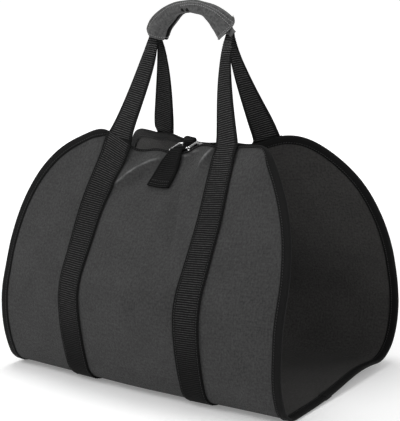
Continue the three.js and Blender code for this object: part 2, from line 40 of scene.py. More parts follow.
# Sizes are millimetres in the frame's own axes: X from open end to open end, -Y the near wall, Z up.
mm = 0.001
frameShift = np.array([0.0, -0.1, 0.0])  # the frame is centred on its own box
across3 = np.array([0.0, 1.0, 0.0])
along3 = np.array([1.0, 0.0, 0.0])
gap = 0.35  # clearance between pieces that lie on each other


def ease(value):
    value = np.clip(value, 0.0, 1.0)
    return value * value * (3 - 2 * value)


def mix(start, end, share):
    return start + (end - start) * share


def unit(vectors):
    return vectors / np.linalg.norm(vectors, axis=-1, keepdims=True)


# The slung canvas sheet, worked out as a surface that every other piece sits on.
canvas = {
    "width": 454.0,
    "length": 1000.0,
    "thick": 1.8,
    "lobeUpWall": 200.0,
    "lobeAlongTop": 120.0,
    "floorLevel": 3.45,
    "middleRounding": 0.15,  # how softly the section changes from the middle to the ends
    "edgeDropFrom": 380.0,
    "flatTo": 110.0,  # the floor panel lies flat, and the cloth is slack above it
    "flatFade": 70.0,
    "creaseRound": 0.6,
    "wearAndHighlightWide": 1.3,  # the pale line along a crease: wear, and a painted highlight on its crest
    "wearAndHighlightEnds": 1.6,
    # wornShare and the level below: how far the crease lines go pale, for wear and as a painted highlight
    "wornShare": 0.16,
    "wearAndHighlightLevel": 150,
    "columns": 170,
    "lobeRows": {"near": 76, "far": 34},
    "cornerFrom": 108.0,  # rows lie closer where the sheet turns up from the floor
    "cornerTo": 186.0,
    "floorRow": 9.0,
    "cornerRow": 3.0,
    "wallRow": 5.0,
}
halfWidth = canvas["width"] / 2
halfLength = canvas["length"] / 2
lobeFoot = halfLength - canvas["lobeUpWall"]
topHalf = halfWidth - canvas["lobeAlongTop"]

# Each half section from the middle of the floor panel upward: length and turn in degrees of the floor,
# the corner, the belly and the shoulder, then the turn of what is left
runRows = {
    ("near", "middle"): ((126, 0), (40, 71), (93, 10), (48, 43), 1),
    ("near", "end"): ((118, 0), (40, 67), (72, 24), (41, 17), 2),
    ("far", "middle"): ((112, 0), (40, 74), (70, 26), (36, 31), -17),
    ("far", "end"): ((112, 0), (70, 64), (60, 35), (47, 13), -5),
}

# wall, x, spread, drop of the top edge
edgeDrops = (
    ("near", -58, 26, 9),
    ("near", 0, 22, 4),
    ("near", 49, 20, -8),
    ("near", -114, 24, -7),
    ("near", 140, 30, -3),
    ("near", 164, 24, -13),
    ("far", -174, 18, -6),
    ("far", -122, 24, 6.5),
    ("far", -92, 24, 6),
    ("far", -32, 32, 5),
    ("far", 20, 36, 7),
    ("far", 72, 24, 9),
    ("far", 140, 30, -3),
)

# wall, x, distance up, slope, run, spread, height: the main folds, then the finer creases
folds = (
    ("near", -46, 468, 40, 36, 12, 4.0),
    ("near", -37, 448, 40, 34, 13, -3.0),
    ("near", 62, 484, 69, 26, 12, 3.5),
    ("near", 46, 410, 99, 90, 26, -4.0),
    ("near", -150, 360, 60, 90, 34, 3.0),
    ("near", 226, 236, 90, 36, 60, -5.0),
    ("far", 0, 400, 90, 90, 30, -4.0),
    ("far", 168, 380, 60, 70, 34, 4.0),
    ("far", 236, 72, 90, 84, 56, -14.0),
    ("near", -38, 458, 38, 26, 6.0, -1.6),
    ("near", 70, 482, 64, 18, 6.0, -1.4),
    ("near", 35, 484, -45, 22, 8.0, -2.4),
    ("near", 37, 408, 102, 66, 8, -2.4),
    ("near", 14, 380, 96, 60, 9, 0.8),
    ("near", -8, 350, 84, 70, 10, -0.7),
    ("near", -66, 300, 80, 60, 9, 0.6),
    ("near", 60, 300, 100, 66, 10, 0.7),
    ("near", 150, 300, 70, 60, 12, 0.8),
    ("near", -190, 250, 76, 60, 14, 0.8),
    ("near", 176, 190, 20, 40, 9, 0.7),
    ("near", -30, 168, 4, 70, 7, 0.7),
    ("near", 40, 176, -6, 60, 7, -0.6),
    ("far", 40, 330, 84, 70, 12, -0.9),
    ("far", -40, 420, 70, 50, 10, 0.9),
    ("far", 130, 250, 60, 70, 13, 0.9),
)

# Sharp creases on the near wall: x and distance up at both ends, height, spread
creases = (
    (-16, 488, -46, 470, 2.2, 5.0),
    (-45, 471, -61, 456, 2.6, 5.0),
    (-59, 458, -78, 430, 2.0, 6.0),
    (69, 499, 53, 470, 2.8, 5.0),
    (11, 495, 27, 492, 1.4, 3.5),
    (29, 496, 45, 491, 1.2, 3.5),
)

# Soft waves of cloth that has been packed away: height, then two pairs of wave lengths over x and upward
slackWaves = (
    (0.35, (23, 61), (-88, 37)),
    (0.12, (9.5, -33), (41, 15)),
)


def walk(rows, distance):
    runs = list(rows[:-1])
    runs.append((halfLength - sum(length for length, turn in runs), rows[-1]))
    left = np.array(distance, float)
    heading = np.zeros_like(left)
    out = np.zeros_like(left)
    height = np.zeros_like(left)
    for index, (length, turn) in enumerate(runs):
        step = left if index == len(runs) - 1 else np.minimum(left, length)
        bend = math.radians(turn) * step / length
        chord = step * np.sinc(bend / 2 / math.pi)
        out = out + chord * np.cos(heading + bend / 2)
        height = height + chord * np.sin(heading + bend / 2)
        heading = heading + bend
        left = left - step
    return out, height


def endShare(x):
    rounding = canvas["middleRounding"]
    return (np.hypot(x / halfWidth, rounding) - rounding) / (math.hypot(1, rounding) - rounding)


def smoothCloth(x, across):
    x, across = np.broadcast_arrays(np.asarray(x, float), np.asarray(across, float))
    distance = np.abs(across)
    share = endShare(x)
    nearTop = ease((distance - canvas["edgeDropFrom"]) / (halfLength - canvas["edgeDropFrom"]))
    walls = {}
    for wall, side in (("near", -1), ("far", 1)):
        middle = walk(runRows[wall, "middle"], distance)
        end = walk(runRows[wall, "end"], distance)
        height = canvas["floorLevel"] + mix(middle[1], end[1], share)
        for rowWall, place, spread, drop in edgeDrops:
            if rowWall == wall:
                height = height - drop * nearTop * np.exp(-(((x - place) / spread) ** 2))
        walls[wall] = np.stack([x, side * mix(middle[0], end[0], share), height], -1)
    return np.where((across < 0)[..., None], walls["near"], walls["far"])


def outwardOf(surface, x, across):
    step = 0.5
    x = np.asarray(x, float)
    across = np.asarray(across, float)
    sideways = surface(x + step, across) - surface(x - step, across)
    upward = surface(x, across + step) - surface(x, across - step)
    return unit(np.cross(upward, sideways))


# Place along a crease, -1 to 1, and the distance aside of it; for points and for shader sockets alike.
def creaseLine(crease, x, up):
    startX, startUp, endX, endUp = crease[:4]
    length = math.hypot(endX - startX, endUp - startUp)
    alongX, alongUp = (endX - startX) / length, (endUp - startUp) / length
    dx = x - (startX + endX) / 2
    dUp = up - (startUp + endUp) / 2
    return (dx * alongX + dUp * alongUp) * (2 / length), dUp * alongX - dx * alongUp


def foldHeight(x, across):
    height = 0.0
    for wall, place, distance, slope, run, spread, stands in folds:
        turn = math.radians(slope)
        dx = x - place
        dUp = (-across if wall == "near" else across) - distance
        along = (dx * math.cos(turn) + dUp * math.sin(turn)) / run
        aside = (dUp * math.cos(turn) - dx * math.sin(turn)) / spread
        height = height + stands * np.exp(-along * along - aside * aside)
    for crease in creases:
        along, aside = creaseLine(crease, x, -across)
        stands, spread = crease[4:]
        height = height + stands * np.exp(-(along**4) - np.hypot(aside, canvas["creaseRound"]) / spread)
    return height


def slackHeight(x, across):
    height = 0.0
    for stands, *waves in slackWaves:
        first, second = [np.sin(x / overX + across / upCloth) for overX, upCloth in waves]
        height = height + stands * first * second
    return height * ease((np.abs(across) - canvas["flatTo"]) / canvas["flatFade"])


def cloth(x, across):
    x = np.asarray(x, float)
    across = np.asarray(across, float)
    stands = foldHeight(x, across) + slackHeight(x, across)
    return smoothCloth(x, across) + outwardOf(smoothCloth, x, across) * stands[..., None]


def offCloth(x, across, distance):
    distance = np.asarray(distance, float)
    return cloth(x, across) + outwardOf(cloth, x, across) * distance[..., None]


# Mesh making: points, and each face corner's place on the flat cloth, come in millimetres.
def newPiece(name, points, faces, corners, looks, nodes, faceLooks=None):
    mesh = bpy.data.meshes.new(name)
    mesh.from_pydata(((np.asarray(points) + frameShift) * mm).tolist(), [], faces)
    layer = mesh.uv_layers.new(name="flat")
    layer.uv.foreach_set("vector", (np.asarray(corners, np.float32) * mm).ravel())
    for look in looks:
        mesh.materials.append(look)
    if faceLooks is not None:
        mesh.polygons.foreach_set("material_index", faceLooks)
    mesh.polygons.foreach_set("use_smooth", [True] * len(mesh.polygons))
    if signedVolume(mesh) < 0:
        mesh.flip_normals()
    mesh.update()
    piece = bpy.data.objects.new(name, mesh)
    bpy.context.scene.collection.objects.link(piece)
    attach(piece, "root")
    if nodes:
        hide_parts(*nodes)
    print("made", name, len(mesh.polygons), "faces")
    return piece


def signedVolume(mesh):
    mesh.calc_loop_triangles()
    points = np.empty(len(mesh.vertices) * 3)
    mesh.vertices.foreach_get("co", points)
    corners = np.empty(len(mesh.loop_triangles) * 3, np.int32)
    mesh.loop_triangles.foreach_get("vertices", corners)
    a, b, c = points.reshape(-1, 3)[corners.reshape(-1, 3)].transpose(1, 0, 2)
    return float(np.einsum("ij,ij->i", a, np.cross(b, c)).sum())


# A thin closed panel: two layers of a grid, joined round its border.
def panelFaces(rows, columns, flat):
    count = rows * columns
    number = np.arange(count).reshape(rows, columns)
    front = np.stack([number[:-1, :-1], number[:-1, 1:], number[1:, 1:], number[1:, :-1]], -1).reshape(-1, 4)
    back = front[:, ::-1] + count
    border = np.concatenate([number[0, :-1], number[:-1, -1], number[-1, :0:-1], number[:0:-1, 0]])
    after = np.roll(border, -1)
    rim = np.stack([after, border, border + count, after + count], -1)
    faces = np.concatenate([front, back, rim])
    flatTwice = np.concatenate([flat.reshape(-1, 2)] * 2)
    looks = np.concatenate([np.zeros(len(front)), np.ones(len(back)), np.zeros(len(rim))]).astype(int)
    return faces.tolist(), flatTwice[faces].reshape(-1, 2), looks


# A tube of sections of equal point counts, closed round or capped.
def sweepFaces(rings, along, around, closed=False):
    count, sides = rings.shape[:2]
    along, around = np.asarray(along), np.asarray(around)
    last = count if closed else count - 1
    row, column = np.meshgrid(np.arange(last), np.arange(sides), indexing="ij")
    quadRows = np.stack([row, row, row + 1, row + 1], -1).reshape(-1, 4)
    quadColumns = np.stack([column, column + 1, column + 1, column], -1).reshape(-1, 4)
    faces = ((quadRows % count) * sides + quadColumns % sides).tolist()
    corners = np.stack([around[quadColumns], along[quadRows]], -1).reshape(-1, 2)
    if not closed:
        faces.append(list(range(sides - 1, -1, -1)))
        faces.append(list(range((count - 1) * sides, count * sides)))
        start, end = [np.stack([around[:-1], np.full(sides, along[place])], -1) for place in (0, -1)]
        corners = np.concatenate([corners, start[::-1], end])
    return faces, corners


def lengthsAlong(points):
    return np.concatenate([[0.0], np.cumsum(np.linalg.norm(np.diff(points, axis=0), axis=-1))])


def rowsAt(places, along, rows):
    return np.stack([np.interp(places, along, column) for column in rows.T], -1)


# Shader wiring: a wrapped socket does its maths with Python's own operators.
class Wire:
    def __init__(self, shade, socket):
        self.shade = shade
        self.socket = socket

    def __add__(self, other):
        return self.shade.maths("ADD", self, other)

    def __sub__(self, other):
        return self.shade.maths("SUBTRACT", self, other)

    def __rsub__(self, other):
        return self.shade.maths("SUBTRACT", other, self)

    def __mul__(self, other):
        return self.shade.maths("MULTIPLY", self, other)

    def __abs__(self):
        return self.shade.maths("ABSOLUTE", self)

    __radd__ = __add__
    __rmul__ = __mul__

    def wave(self, pitch):
        return self.shade.maths("SINE", self * (2 * math.pi / pitch))

    def above(self, low, high):
        return self.shade.node(
            "ShaderNodeMapRange", {"interpolation_type": "SMOOTHSTEP"}, {0: self, 1: low, 2: high}
        )


class Shade:
    def __init__(self, name):
        self.look = bpy.data.materials.new(name)
        self.look.use_nodes = True
        self.tree = self.look.node_tree
        self.tree.nodes.clear()

    def node(self, kind, settings, sockets, out=0):
        made = self.tree.nodes.new(kind)
        for key, value in settings.items():
            setattr(made, key, value)
        for key, value in sockets.items():
            if isinstance(value, Wire):
                self.tree.links.new(value.socket, made.inputs[key])
            else:
                made.inputs[key].default_value = value
        return Wire(self, made.outputs[out]) if made.outputs else None

    def maths(self, operation, *values):
        return self.node("ShaderNodeMath", {"operation": operation}, dict(enumerate(values)))

    def blend(self, share, start, end):
        sockets = {0: share, 6: start, 7: end}
        return self.node("ShaderNodeMix", {"data_type": "RGBA"}, sockets, 2)

    def flatPlace(self):
        flat = self.node("ShaderNodeUVMap", {"uv_map": "flat"}, {})
        return [self.node("ShaderNodeSeparateXYZ", {}, {0: flat}, axis) for axis in (0, 1)]

    def noise(self, u, v, scales, detail=3.0):
        place = self.node("ShaderNodeCombineXYZ", {}, {0: u * scales[0], 1: v * scales[1]})
        return self.node("ShaderNodeTexNoise", {}, {"Vector": place, "Scale": 1.0, "Detail": detail})

    def bump(self, height, depth, strength=1.0):
        sockets = {"Height": height, "Distance": depth * mm, "Strength": strength}
        return self.node("ShaderNodeBump", {}, sockets)

    def finish(self, sockets):
        surface = self.node("ShaderNodeBsdfPrincipled", {}, sockets)
        self.node("ShaderNodeOutputMaterial", {}, {"Surface": surface})
        return self.look


# Screen level, 0 to 255, to linear light
def grey(level, warmth=0.0):
    linear = (level / 255 / 12.92) if level < 10.3 else ((level / 255 + 0.055) / 1.055) ** 2.4
    return (linear * (1 + warmth), linear, linear * (1 - warmth), 1.0)


def creaseWearAndHighlight(shade, u, v):
    # cloth rubs pale along the top of a sharp crease, and a highlight is painted along it
    x, up = u * (1 / mm), v * (-1 / mm)
    wearAndHighlight = 0.0
    for crease in creases:
        along, aside = creaseLine(crease, x, up)
        aside = aside * (1 / canvas["wearAndHighlightWide"])
        fade = shade.maths("EXPONENT", 0 - along * along * canvas["wearAndHighlightEnds"] - aside * aside)
        wearAndHighlight = wearAndHighlight + fade * (canvas["wornShare"] * crease[4])
    return wearAndHighlight


# Scales of noise are across and along the piece, in waves to the metre.
plainCloth = {
    "warpScale": (900, 45),
    "weftScale": (45, 900),
    "dyeScale": (22, 22),
    "slubScale": (380, 300),
    "weaveShare": 0.16,
    "threadShare": 0.9,
    "dyeShare": 0.8,
    "slubShare": 2.2,
    "wearAndHighlightLeast": 0.4,
    "wearAndHighlightSlub": 1.2,
    "threadRelief": 1.2,
    "reliefDepth": 0.22,
    "reliefStrength": 0.7,
    "roughness": 0.86,
    "dyeRoughness": 0.2,
    "sheenRoughness": 0.5,
    "shine": 0.15,
}


def plainWeave(name, dark, light, pitch, sheen, warmth=0.0, creased=False):
    shade = Shade(name)
    u, v = shade.flatPlace()
    weave = u.wave(pitch * mm) * v.wave(pitch * mm)
    warp = shade.noise(u, v, plainCloth["warpScale"])  # each thread varies a little along its length
    weft = shade.noise(u, v, plainCloth["weftScale"])
    dye = shade.noise(u, v, plainCloth["dyeScale"], detail=4.0)
    slub = shade.noise(u, v, plainCloth["slubScale"], detail=2.0)  # heathered yarn, a few threads at a time
    share = (
        0.5
        + plainCloth["weaveShare"] * weave
        + plainCloth["threadShare"] * (warp + weft - 1)
        + plainCloth["dyeShare"] * (dye - 0.5)
        + plainCloth["slubShare"] * (slub - 0.5)
    )
    colour = shade.blend(share, grey(dark, warmth), grey(light, warmth))
    # pale crease lines: wear, and a painted highlight along each crest
    if creased:
        wearAndHighlight = creaseWearAndHighlight(shade, u, v) * (plainCloth["wearAndHighlightLeast"] + plainCloth["wearAndHighlightSlub"] * slub)
        colour = shade.blend(wearAndHighlight, colour, grey(canvas["wearAndHighlightLevel"]))
    relief = weave + plainCloth["threadRelief"] * (warp + weft)
    return shade.finish({
        "Base Color": colour,
        "Roughness": plainCloth["roughness"] + plainCloth["dyeRoughness"] * (dye - 0.5),
        "Normal": shade.bump(relief, plainCloth["reliefDepth"], plainCloth["reliefStrength"]),
        "Sheen Weight": sheen,
        "Sheen Roughness": plainCloth["sheenRoughness"],
        "Specular IOR Level": plainCloth["shine"],
    })


ribs = {
    "selvedge": (13.5 * mm, 15.5 * mm),
    "rubbedAndLitTo": (0.45, 0.55),  # metres from the middle of the grip; the low part is less worn and carries less painted light
    "handledAndLitTo": (0.22, 0.32),
    "level": 0.04,
    # lighter towards the grip: wear, and painted light on the handle legs and upper straps
    "rubbed": 0.085,
    "handledAndLit": 0.045,
    "selvedgeDark": 0.45,
    "selvedgeCrest": 0.6,
    "selvedgeFlat": 0.75,
    "wanderScale": (60, 60),
    "wander": 1.2 * mm,
    "twillSlope": 0.5,
    "twillPitch": 1.5 * mm,
    "twillShare": 0.25,
    "twillRelief": 0.18,
    "wornScale": (180, 240),
    "dashScale": (520, 170),
    "dashShare": 2.2,
    "dashLeast": 0.1,
    "valley": 0.25,
    "crest": 3.0,
    "reliefDepth": 0.5,
    "reliefStrength": 0.9,
    "roughness": 0.62,
    "wornRoughness": 0.25,
    "shine": 0.08,
}


def ribbedWebbing(name, dark, light, ribPitch):
    shade = Shade(name)
    u, v = shade.flatPlace()
    selvedge = abs(u).above(*ribs["selvedge"])
    # painted light and wear: the webbing is painted lighter towards the grip
    rubbed = 1 - abs(v).above(*ribs["rubbedAndLitTo"])
    handledAndLit = 1 - abs(v).above(*ribs["handledAndLitTo"])
    wander = shade.noise(u, v, ribs["wanderScale"])
    rib = (v + ribs["wander"] * (wander - 0.5)).wave(ribPitch * mm)
    twill = (u + v * ribs["twillSlope"]).wave(ribs["twillPitch"])
    worn = shade.noise(u, v, ribs["wornScale"], detail=4.0)
    dashes = shade.noise(u, v, ribs["dashScale"], detail=2.0)  # ribs catch the light in short dashes
    crest = shade.maths("MAXIMUM", rib, 0.0)
    level = ribs["level"] + ribs["rubbed"] * rubbed + ribs["handledAndLit"] * handledAndLit
    level = level * (1 - ribs["selvedgeDark"] * selvedge)
    crest = ribs["crest"] * crest * crest * (1 - ribs["selvedgeCrest"] * selvedge)
    share = ribs["valley"] + crest * (ribs["dashShare"] * dashes - ribs["dashLeast"])
    share = level * (share * (0.5 + worn) + ribs["twillShare"] * twill)
    relief = (0.5 + 0.5 * rib) * (1 - ribs["selvedgeFlat"] * selvedge) + ribs["twillRelief"] * twill
    return shade.finish({
        "Base Color": shade.blend(share, grey(dark), grey(light)),
        "Roughness": ribs["roughness"] + ribs["wornRoughness"] * worn,
        "Normal": shade.bump(relief, ribs["reliefDepth"], ribs["reliefStrength"]),
        "Specular IOR Level": ribs["shine"],
    })


tapeWeave = {
    "ribPitch": 1.3 * mm,
    "ribShare": 0.25,
    "wornScale": (140, 90),
    "wornMiddle": 0.4,
    "wornShare": 1.1,
    "wornRelief": 0.6,
    "reliefDepth": 0.18,
    "reliefStrength": 0.6,
    "roughness": 0.58,
    "wornRoughness": 0.3,
    "shine": 0.15,
}


def grosgrainTape(name, dark, light):
    shade = Shade(name)
    u, v = shade.flatPlace()
    rib = v.wave(tapeWeave["ribPitch"])
    worn = shade.noise(u, v, tapeWeave["wornScale"], detail=4.0)
    share = tapeWeave["wornShare"] * (worn - tapeWeave["wornMiddle"])
    share = share + tapeWeave["ribShare"] * (1 + rib)
    relief = rib + tapeWeave["wornRelief"] * worn
    return shade.finish({
        "Base Color": shade.blend(share, grey(dark), grey(light)),
        "Roughness": tapeWeave["roughness"] + tapeWeave["wornRoughness"] * worn,
        "Normal": shade.bump(relief, tapeWeave["reliefDepth"], tapeWeave["reliefStrength"]),
        "Specular IOR Level": tapeWeave["shine"],
    })


threadTwist = {"slope": 2, "pitch": 0.9 * mm, "share": 0.4, "roughness": 0.55, "reliefDepth": 0.08}


def sewingThread(name, dark, light):
    shade = Shade(name)
    u, v = shade.flatPlace()
    ply = (u + threadTwist["slope"] * v).wave(threadTwist["pitch"])
    return shade.finish({
        "Base Color": shade.blend(0.5 + threadTwist["share"] * ply, grey(dark), grey(light)),
        "Roughness": threadTwist["roughness"],
        "Normal": shade.bump(ply, threadTwist["reliefDepth"]),
    })


ringFinish = {
    "hazeScale": (400, 120),
    "rubScale": (60, 1500),
    "roughness": 0.12,
    "hazeRoughness": 0.22,
    "reliefDepth": 0.02,
    "reliefStrength": 0.4,
}


def ringSteel(name, dark, light):
    shade = Shade(name)
    u, v = shade.flatPlace()
    haze = shade.noise(u, v, ringFinish["hazeScale"], detail=4.0)
    rubbed = shade.noise(u, v, ringFinish["rubScale"])
    return shade.finish({
        "Base Color": shade.blend(haze, grey(dark), grey(light)),
        "Metallic": 1.0,
        "Roughness": ringFinish["roughness"] + ringFinish["hazeRoughness"] * haze,
        "Normal": shade.bump(rubbed, ringFinish["reliefDepth"], ringFinish["reliefStrength"]),
    })


# dark and light are screen levels, and pitches are millimetres
outerCanvas = plainWeave("outerCanvas", dark=48, light=68, pitch=1.25, sheen=0.05, creased=True)
# the inner face is painted a little darker and warmer, as painted shade
innerCanvas = plainWeave("innerCanvas", dark=44, light=63, pitch=1.25, sheen=0.03, warmth=0.03)
gripCanvas = plainWeave("gripCanvas", dark=60, light=95, pitch=1.1, sheen=0.08)
strapWebbing = ribbedWebbing("strapWebbing", dark=6, light=100, ribPitch=3.0)
bindingTape = grosgrainTape("bindingTape", dark=5, light=17)
darkThread = sewingThread("darkThread", dark=16, light=44)
greyThread = sewingThread("greyThread", dark=60, light=110)
paleThread = sewingThread("paleThread", dark=104, light=150)
steel = ringSteel("ringSteel", dark=196, light=226)
print("materials made")


# Stitches: short thread lumps that dip into the cloth at both ends, spaced along a line.
thread = {
    "shares": (-1.0, -0.62, 0.0, 0.62, 1.0),  # places along a stitch, and how full the thread is there
    "fullness": (0.25, 0.85, 1.0, 0.85, 0.25),
    "sunk": 0.7,
    "sides": 6,
    "step": 0.4,
    "flatPitch": 0.5,
}


def stitchRow(points, normals, pitch, length, wide, tall, slant=0.0):
    along = lengthsAlong(points)
    places = np.arange(pitch / 2, along[-1], pitch)
    at = rowsAt(places, along, points)
    normal = unit(rowsAt(places, along, normals))
    step = thread["step"]
    forward = unit(rowsAt(places + step, along, points) - rowsAt(places - step, along, points))
    aside = unit(np.cross(normal, forward))
    forward = unit(forward * math.cos(slant) + aside * math.sin(slant))
    aside = unit(np.cross(normal, forward))
    shares = np.array(thread["shares"])
    rounds = np.array(thread["fullness"])
    turns = np.arange(thread["sides"]) * 2 * math.pi / thread["sides"]
    spine = at[:, None] + forward[:, None] * (shares * length / 2)[None, :, None]
    spine = spine + normal[:, None] * ((rounds - thread["sunk"]) * tall)[None, :, None]
    ring = aside[:, None, None] * (np.cos(turns) * wide / 2)[None, None, :, None]
    ring = ring + normal[:, None, None] * (np.sin(turns) * tall / 2)[None, None, :, None]
    return spine[:, :, None] + ring * rounds[None, :, None, None]


def stitchPiece(name, runs, look):
    lumps = np.concatenate(runs)
    count, rings, sides = lumps.shape[:3]
    faces = []
    for lump in range(count):
        first = lump * rings * sides
        for r in range(rings - 1):
            for k in range(sides):
                a = first + r * sides + k
                b = first + r * sides + (k + 1) % sides
                faces.append((a, b, b + sides, a + sides))
        faces.append(tuple(range(first + sides - 1, first - 1, -1)))
        last = first + (rings - 1) * sides
        faces.append(tuple(range(last, last + sides)))
    ringAt, sideAt = np.meshgrid(np.arange(rings), np.arange(sides), indexing="ij")
    flat = np.tile(np.stack([ringAt, sideAt], -1).reshape(-1, 2), (count, 1)) * thread["flatPitch"]
    order = np.concatenate(faces)
    newPiece(name, lumps.reshape(-1, 3), faces, flat[order], [look], ())


# Canvas body
def lobeHalfWidth(distance):
    into = np.clip((distance - lobeFoot) / canvas["lobeUpWall"], 0.0, 1.0)
    return topHalf + canvas["lobeAlongTop"] * np.sqrt(1 - into * into)


def canvasPiece():
    climbs = {}
    for wall, rows in canvas["lobeRows"].items():
        climbs[wall] = np.concatenate([
            np.arange(0, canvas["cornerFrom"], canvas["floorRow"]),
            np.arange(canvas["cornerFrom"], canvas["cornerTo"], canvas["cornerRow"]),
            np.arange(canvas["cornerTo"], lobeFoot, canvas["wallRow"]),
            lobeFoot + canvas["lobeUpWall"] * np.sin(np.linspace(0, math.pi / 2, rows + 1))[1:],
        ])
    across = np.concatenate([-climbs["near"][:0:-1], climbs["far"]])
    share = np.linspace(-1, 1, canvas["columns"])
    x = lobeHalfWidth(np.abs(across))[:, None] * share[None, :]
    across = np.broadcast_to(across[:, None], x.shape)
    middle = cloth(x, across)
    outward = outwardOf(cloth, x, across) * canvas["thick"] / 2
    points = np.concatenate([(middle + outward).reshape(-1, 3), (middle - outward).reshape(-1, 3)])
    faces, corners, looks = panelFaces(*x.shape, np.stack([x, across], -1))
    piece = newPiece(
        "canvasBody", points, faces, corners, [outerCanvas, innerCanvas], ["canvas_body"], looks
    )


# Edge binding
binding = {
    "reach": 11.0,
    "thick": 1.1,
    "stations": 660,
    "lobeStations": 60,
    "pucker": 0.16,
    "puckerPitch": 6.4,
    "swell": 0.4,  # the puckers come and go along the tape
    "swellLength": 31.0,
    "waver": 0.15,
    "waverLength": 12.7,
    "joinAt": -31.0,  # where the tape's ends overlap, on the right end's floor edge
    "joinLength": 15.0,
    "joinStep": 0.04,
    "joinThick": 1.0,
    "topReach": 2.4,  # less of the tape shows along the near top edge, over this stretch of it
    "topMiddle": 30.0,
    "topSpan": 152.0,
    "topFade": 30.0,
    "topFrom": 452.0,
    "topRamp": 30.0,
    "rimStep": 3.0,
    "faceFrom": 1.3,  # outline points further off the cloth than this are on the tape's outer faces
    "faceHeight": 2.35,
    "stitchIn": 8.2,
    "stitch": {"pitch": 3.6, "length": 2.7, "wide": 0.85, "tall": 0.7, "slant": 0.25},
}
# reach in from the rim, height off the cloth: over the outer face, round the rim, and back inside
tapeOutline = (
    (11.2, 1.15), (10.9, 1.95), (9.6, 2.3), (7.6, 2.15), (5.0, 2.4), (2.4, 2.4), (0.4, 2.35), (-0.8, 1.75),
    (-1.4, 0.7), (-1.4, -0.7), (-0.8, -1.75), (0.4, -2.35), (2.4, -2.4), (5.0, -2.4), (7.6, -2.15),
    (9.6, -2.3), (10.9, -1.95), (11.2, -1.15), (7.0, -1.1), (1.0, -1.1), (-0.35, -0.8), (-0.35, 0.8),
    (1.0, 1.1), (7.0, 1.1),
)


def rimPath(count):
    turn = np.linspace(0, math.pi / 2, binding["lobeStations"])
    lobeX = topHalf + canvas["lobeAlongTop"] * np.cos(turn)
    lobeUp = lobeFoot + canvas["lobeUpWall"] * np.sin(turn)
    normal = unit(np.stack([np.cos(turn) / canvas["lobeAlongTop"], np.sin(turn) / canvas["lobeUpWall"]], -1))
    quarter = np.concatenate([np.stack([lobeX, lobeUp], -1), normal], -1)
    flip = np.array([-1, 1, -1, 1.0])
    loop = np.concatenate([quarter, quarter[::-1] * flip, -quarter, quarter[::-1] * -flip])
    loop = np.concatenate([loop, loop[:1]])
    along = lengthsAlong(loop[:, :2])
    rightEnd = along[-1] - lobeFoot + binding["joinAt"]
    step = binding["joinStep"]
    ends = rightEnd + np.array([-0.5, step - 0.5, 0.5 - step, 0.5]) * binding["joinLength"]
    places = np.sort(np.concatenate([np.linspace(0, along[-1], count + 1)[:-1], ends]))
    path = rowsAt(places, along, loop)
    doubled = np.abs(places - rightEnd) < (0.5 - step / 2) * binding["joinLength"]
    return places, along[-1], path[:, :2], unit(path[:, 2:]), doubled


def outerReachShare(edge):
    along = ease((binding["topSpan"] - np.abs(edge[:, 0] - binding["topMiddle"])) / binding["topFade"])
    onTop = along * ease((-edge[:, 1] - binding["topFrom"]) / binding["topRamp"])
    return 1 - onTop * (1 - binding["topReach"] / binding["reach"])


def tapePoints(edge, normal, reach, height):
    height = np.broadcast_to(height, len(edge))
    share = np.where(height > 0, outerReachShare(edge), 1.0)
    inside = max(reach, 0.0) * share[:, None]
    place = edge - normal * inside
    base = cloth(place[:, 0], place[:, 1])
    outward = outwardOf(cloth, place[:, 0], place[:, 1])
    if reach < 0:
        within = edge - normal * binding["rimStep"]
        away = unit(base - cloth(within[:, 0], within[:, 1]))
        base = base - away * reach
    return base + outward * height[:, None], outward


def bindingPieces():
    places, total, edge, normal, doubled = rimPath(binding["stations"])
    pucker = binding["pucker"] * np.sin(2 * math.pi * places / binding["puckerPitch"])
    pucker = pucker * mix(1.0, np.sin(places / binding["swellLength"]), binding["swell"])
    pucker = pucker + binding["waver"] * np.sin(places / binding["waverLength"])
    rings = []
    for reach, height in tapeOutline:
        outer = abs(height) > binding["faceFrom"]
        extra = pucker * (outer and reach > 0) + doubled * binding["joinThick"] * outer
        rings.append(tapePoints(edge, normal, reach, height + np.sign(height) * extra)[0])
    rings = np.stack(rings, 1)
    outline = np.array(tapeOutline)
    around = lengthsAlong(np.concatenate([outline, outline[:1]]))
    faces, corners = sweepFaces(rings, np.append(places, total), around, closed=True)
    newPiece("edgeBinding", rings.reshape(-1, 3), faces, corners, [bindingTape], ["edge_binding"])
    runs = []
    closed = np.arange(len(places) + 1) % len(places)
    for side in (1, -1):
        height = side * (binding["faceHeight"] + binding["joinThick"] * doubled)
        line, outward = tapePoints(edge, normal, binding["stitchIn"], height)
        runs.append(stitchRow(line[closed], side * outward[closed], **binding["stitch"]))
    stitchPiece("bindingStitching", runs, darkThread)


# Webbing straps and handles
webbing = {
    "width": 38.0,
    "thick": 2.2,
    "fromMiddle": 96.0,
    "leanFrom": 380.0,
    "standoff": 2.35,
    "tapeStandoff": 4.15,
    "rampFrom": 20.0,
    "rampTo": 4.0,
    "selvedgeThin": 0.55,  # the band thins at its two edges
    "selvedgePower": 10,
    "columns": 15,
    "floorRow": 12.0,
    "cornerRow": 4.0,
    "wallRow": 7.0,
    "lipFrom": 470.0,
    "lipRow": 2.5,
    "legStations": 61,  # along each leg of the handle, and along half of its arch in the grip
    "archStations": 17,
    "curl": 185.0,  # how far the webbing rolls in on itself where it enters the grip, in degrees
    "curlDepth": 0.28,
    "leastCurl": 0.02,
    "sewn": (132.0, 488.0, 6.0),  # from, to and step up the wall
    "stitchIn": 3.2,
    "stitch": {"pitch": 4.2, "length": 3.2, "wide": 0.8, "tall": 0.6},
    "barTack": (1.09, 1.18),  # past the grip's end, as a share of the leg
    "barTackRows": 6,
    "barTackStitch": {"pitch": 2.0, "length": 1.6, "wide": 1.2, "tall": 1.2, "slant": 0.3},
}
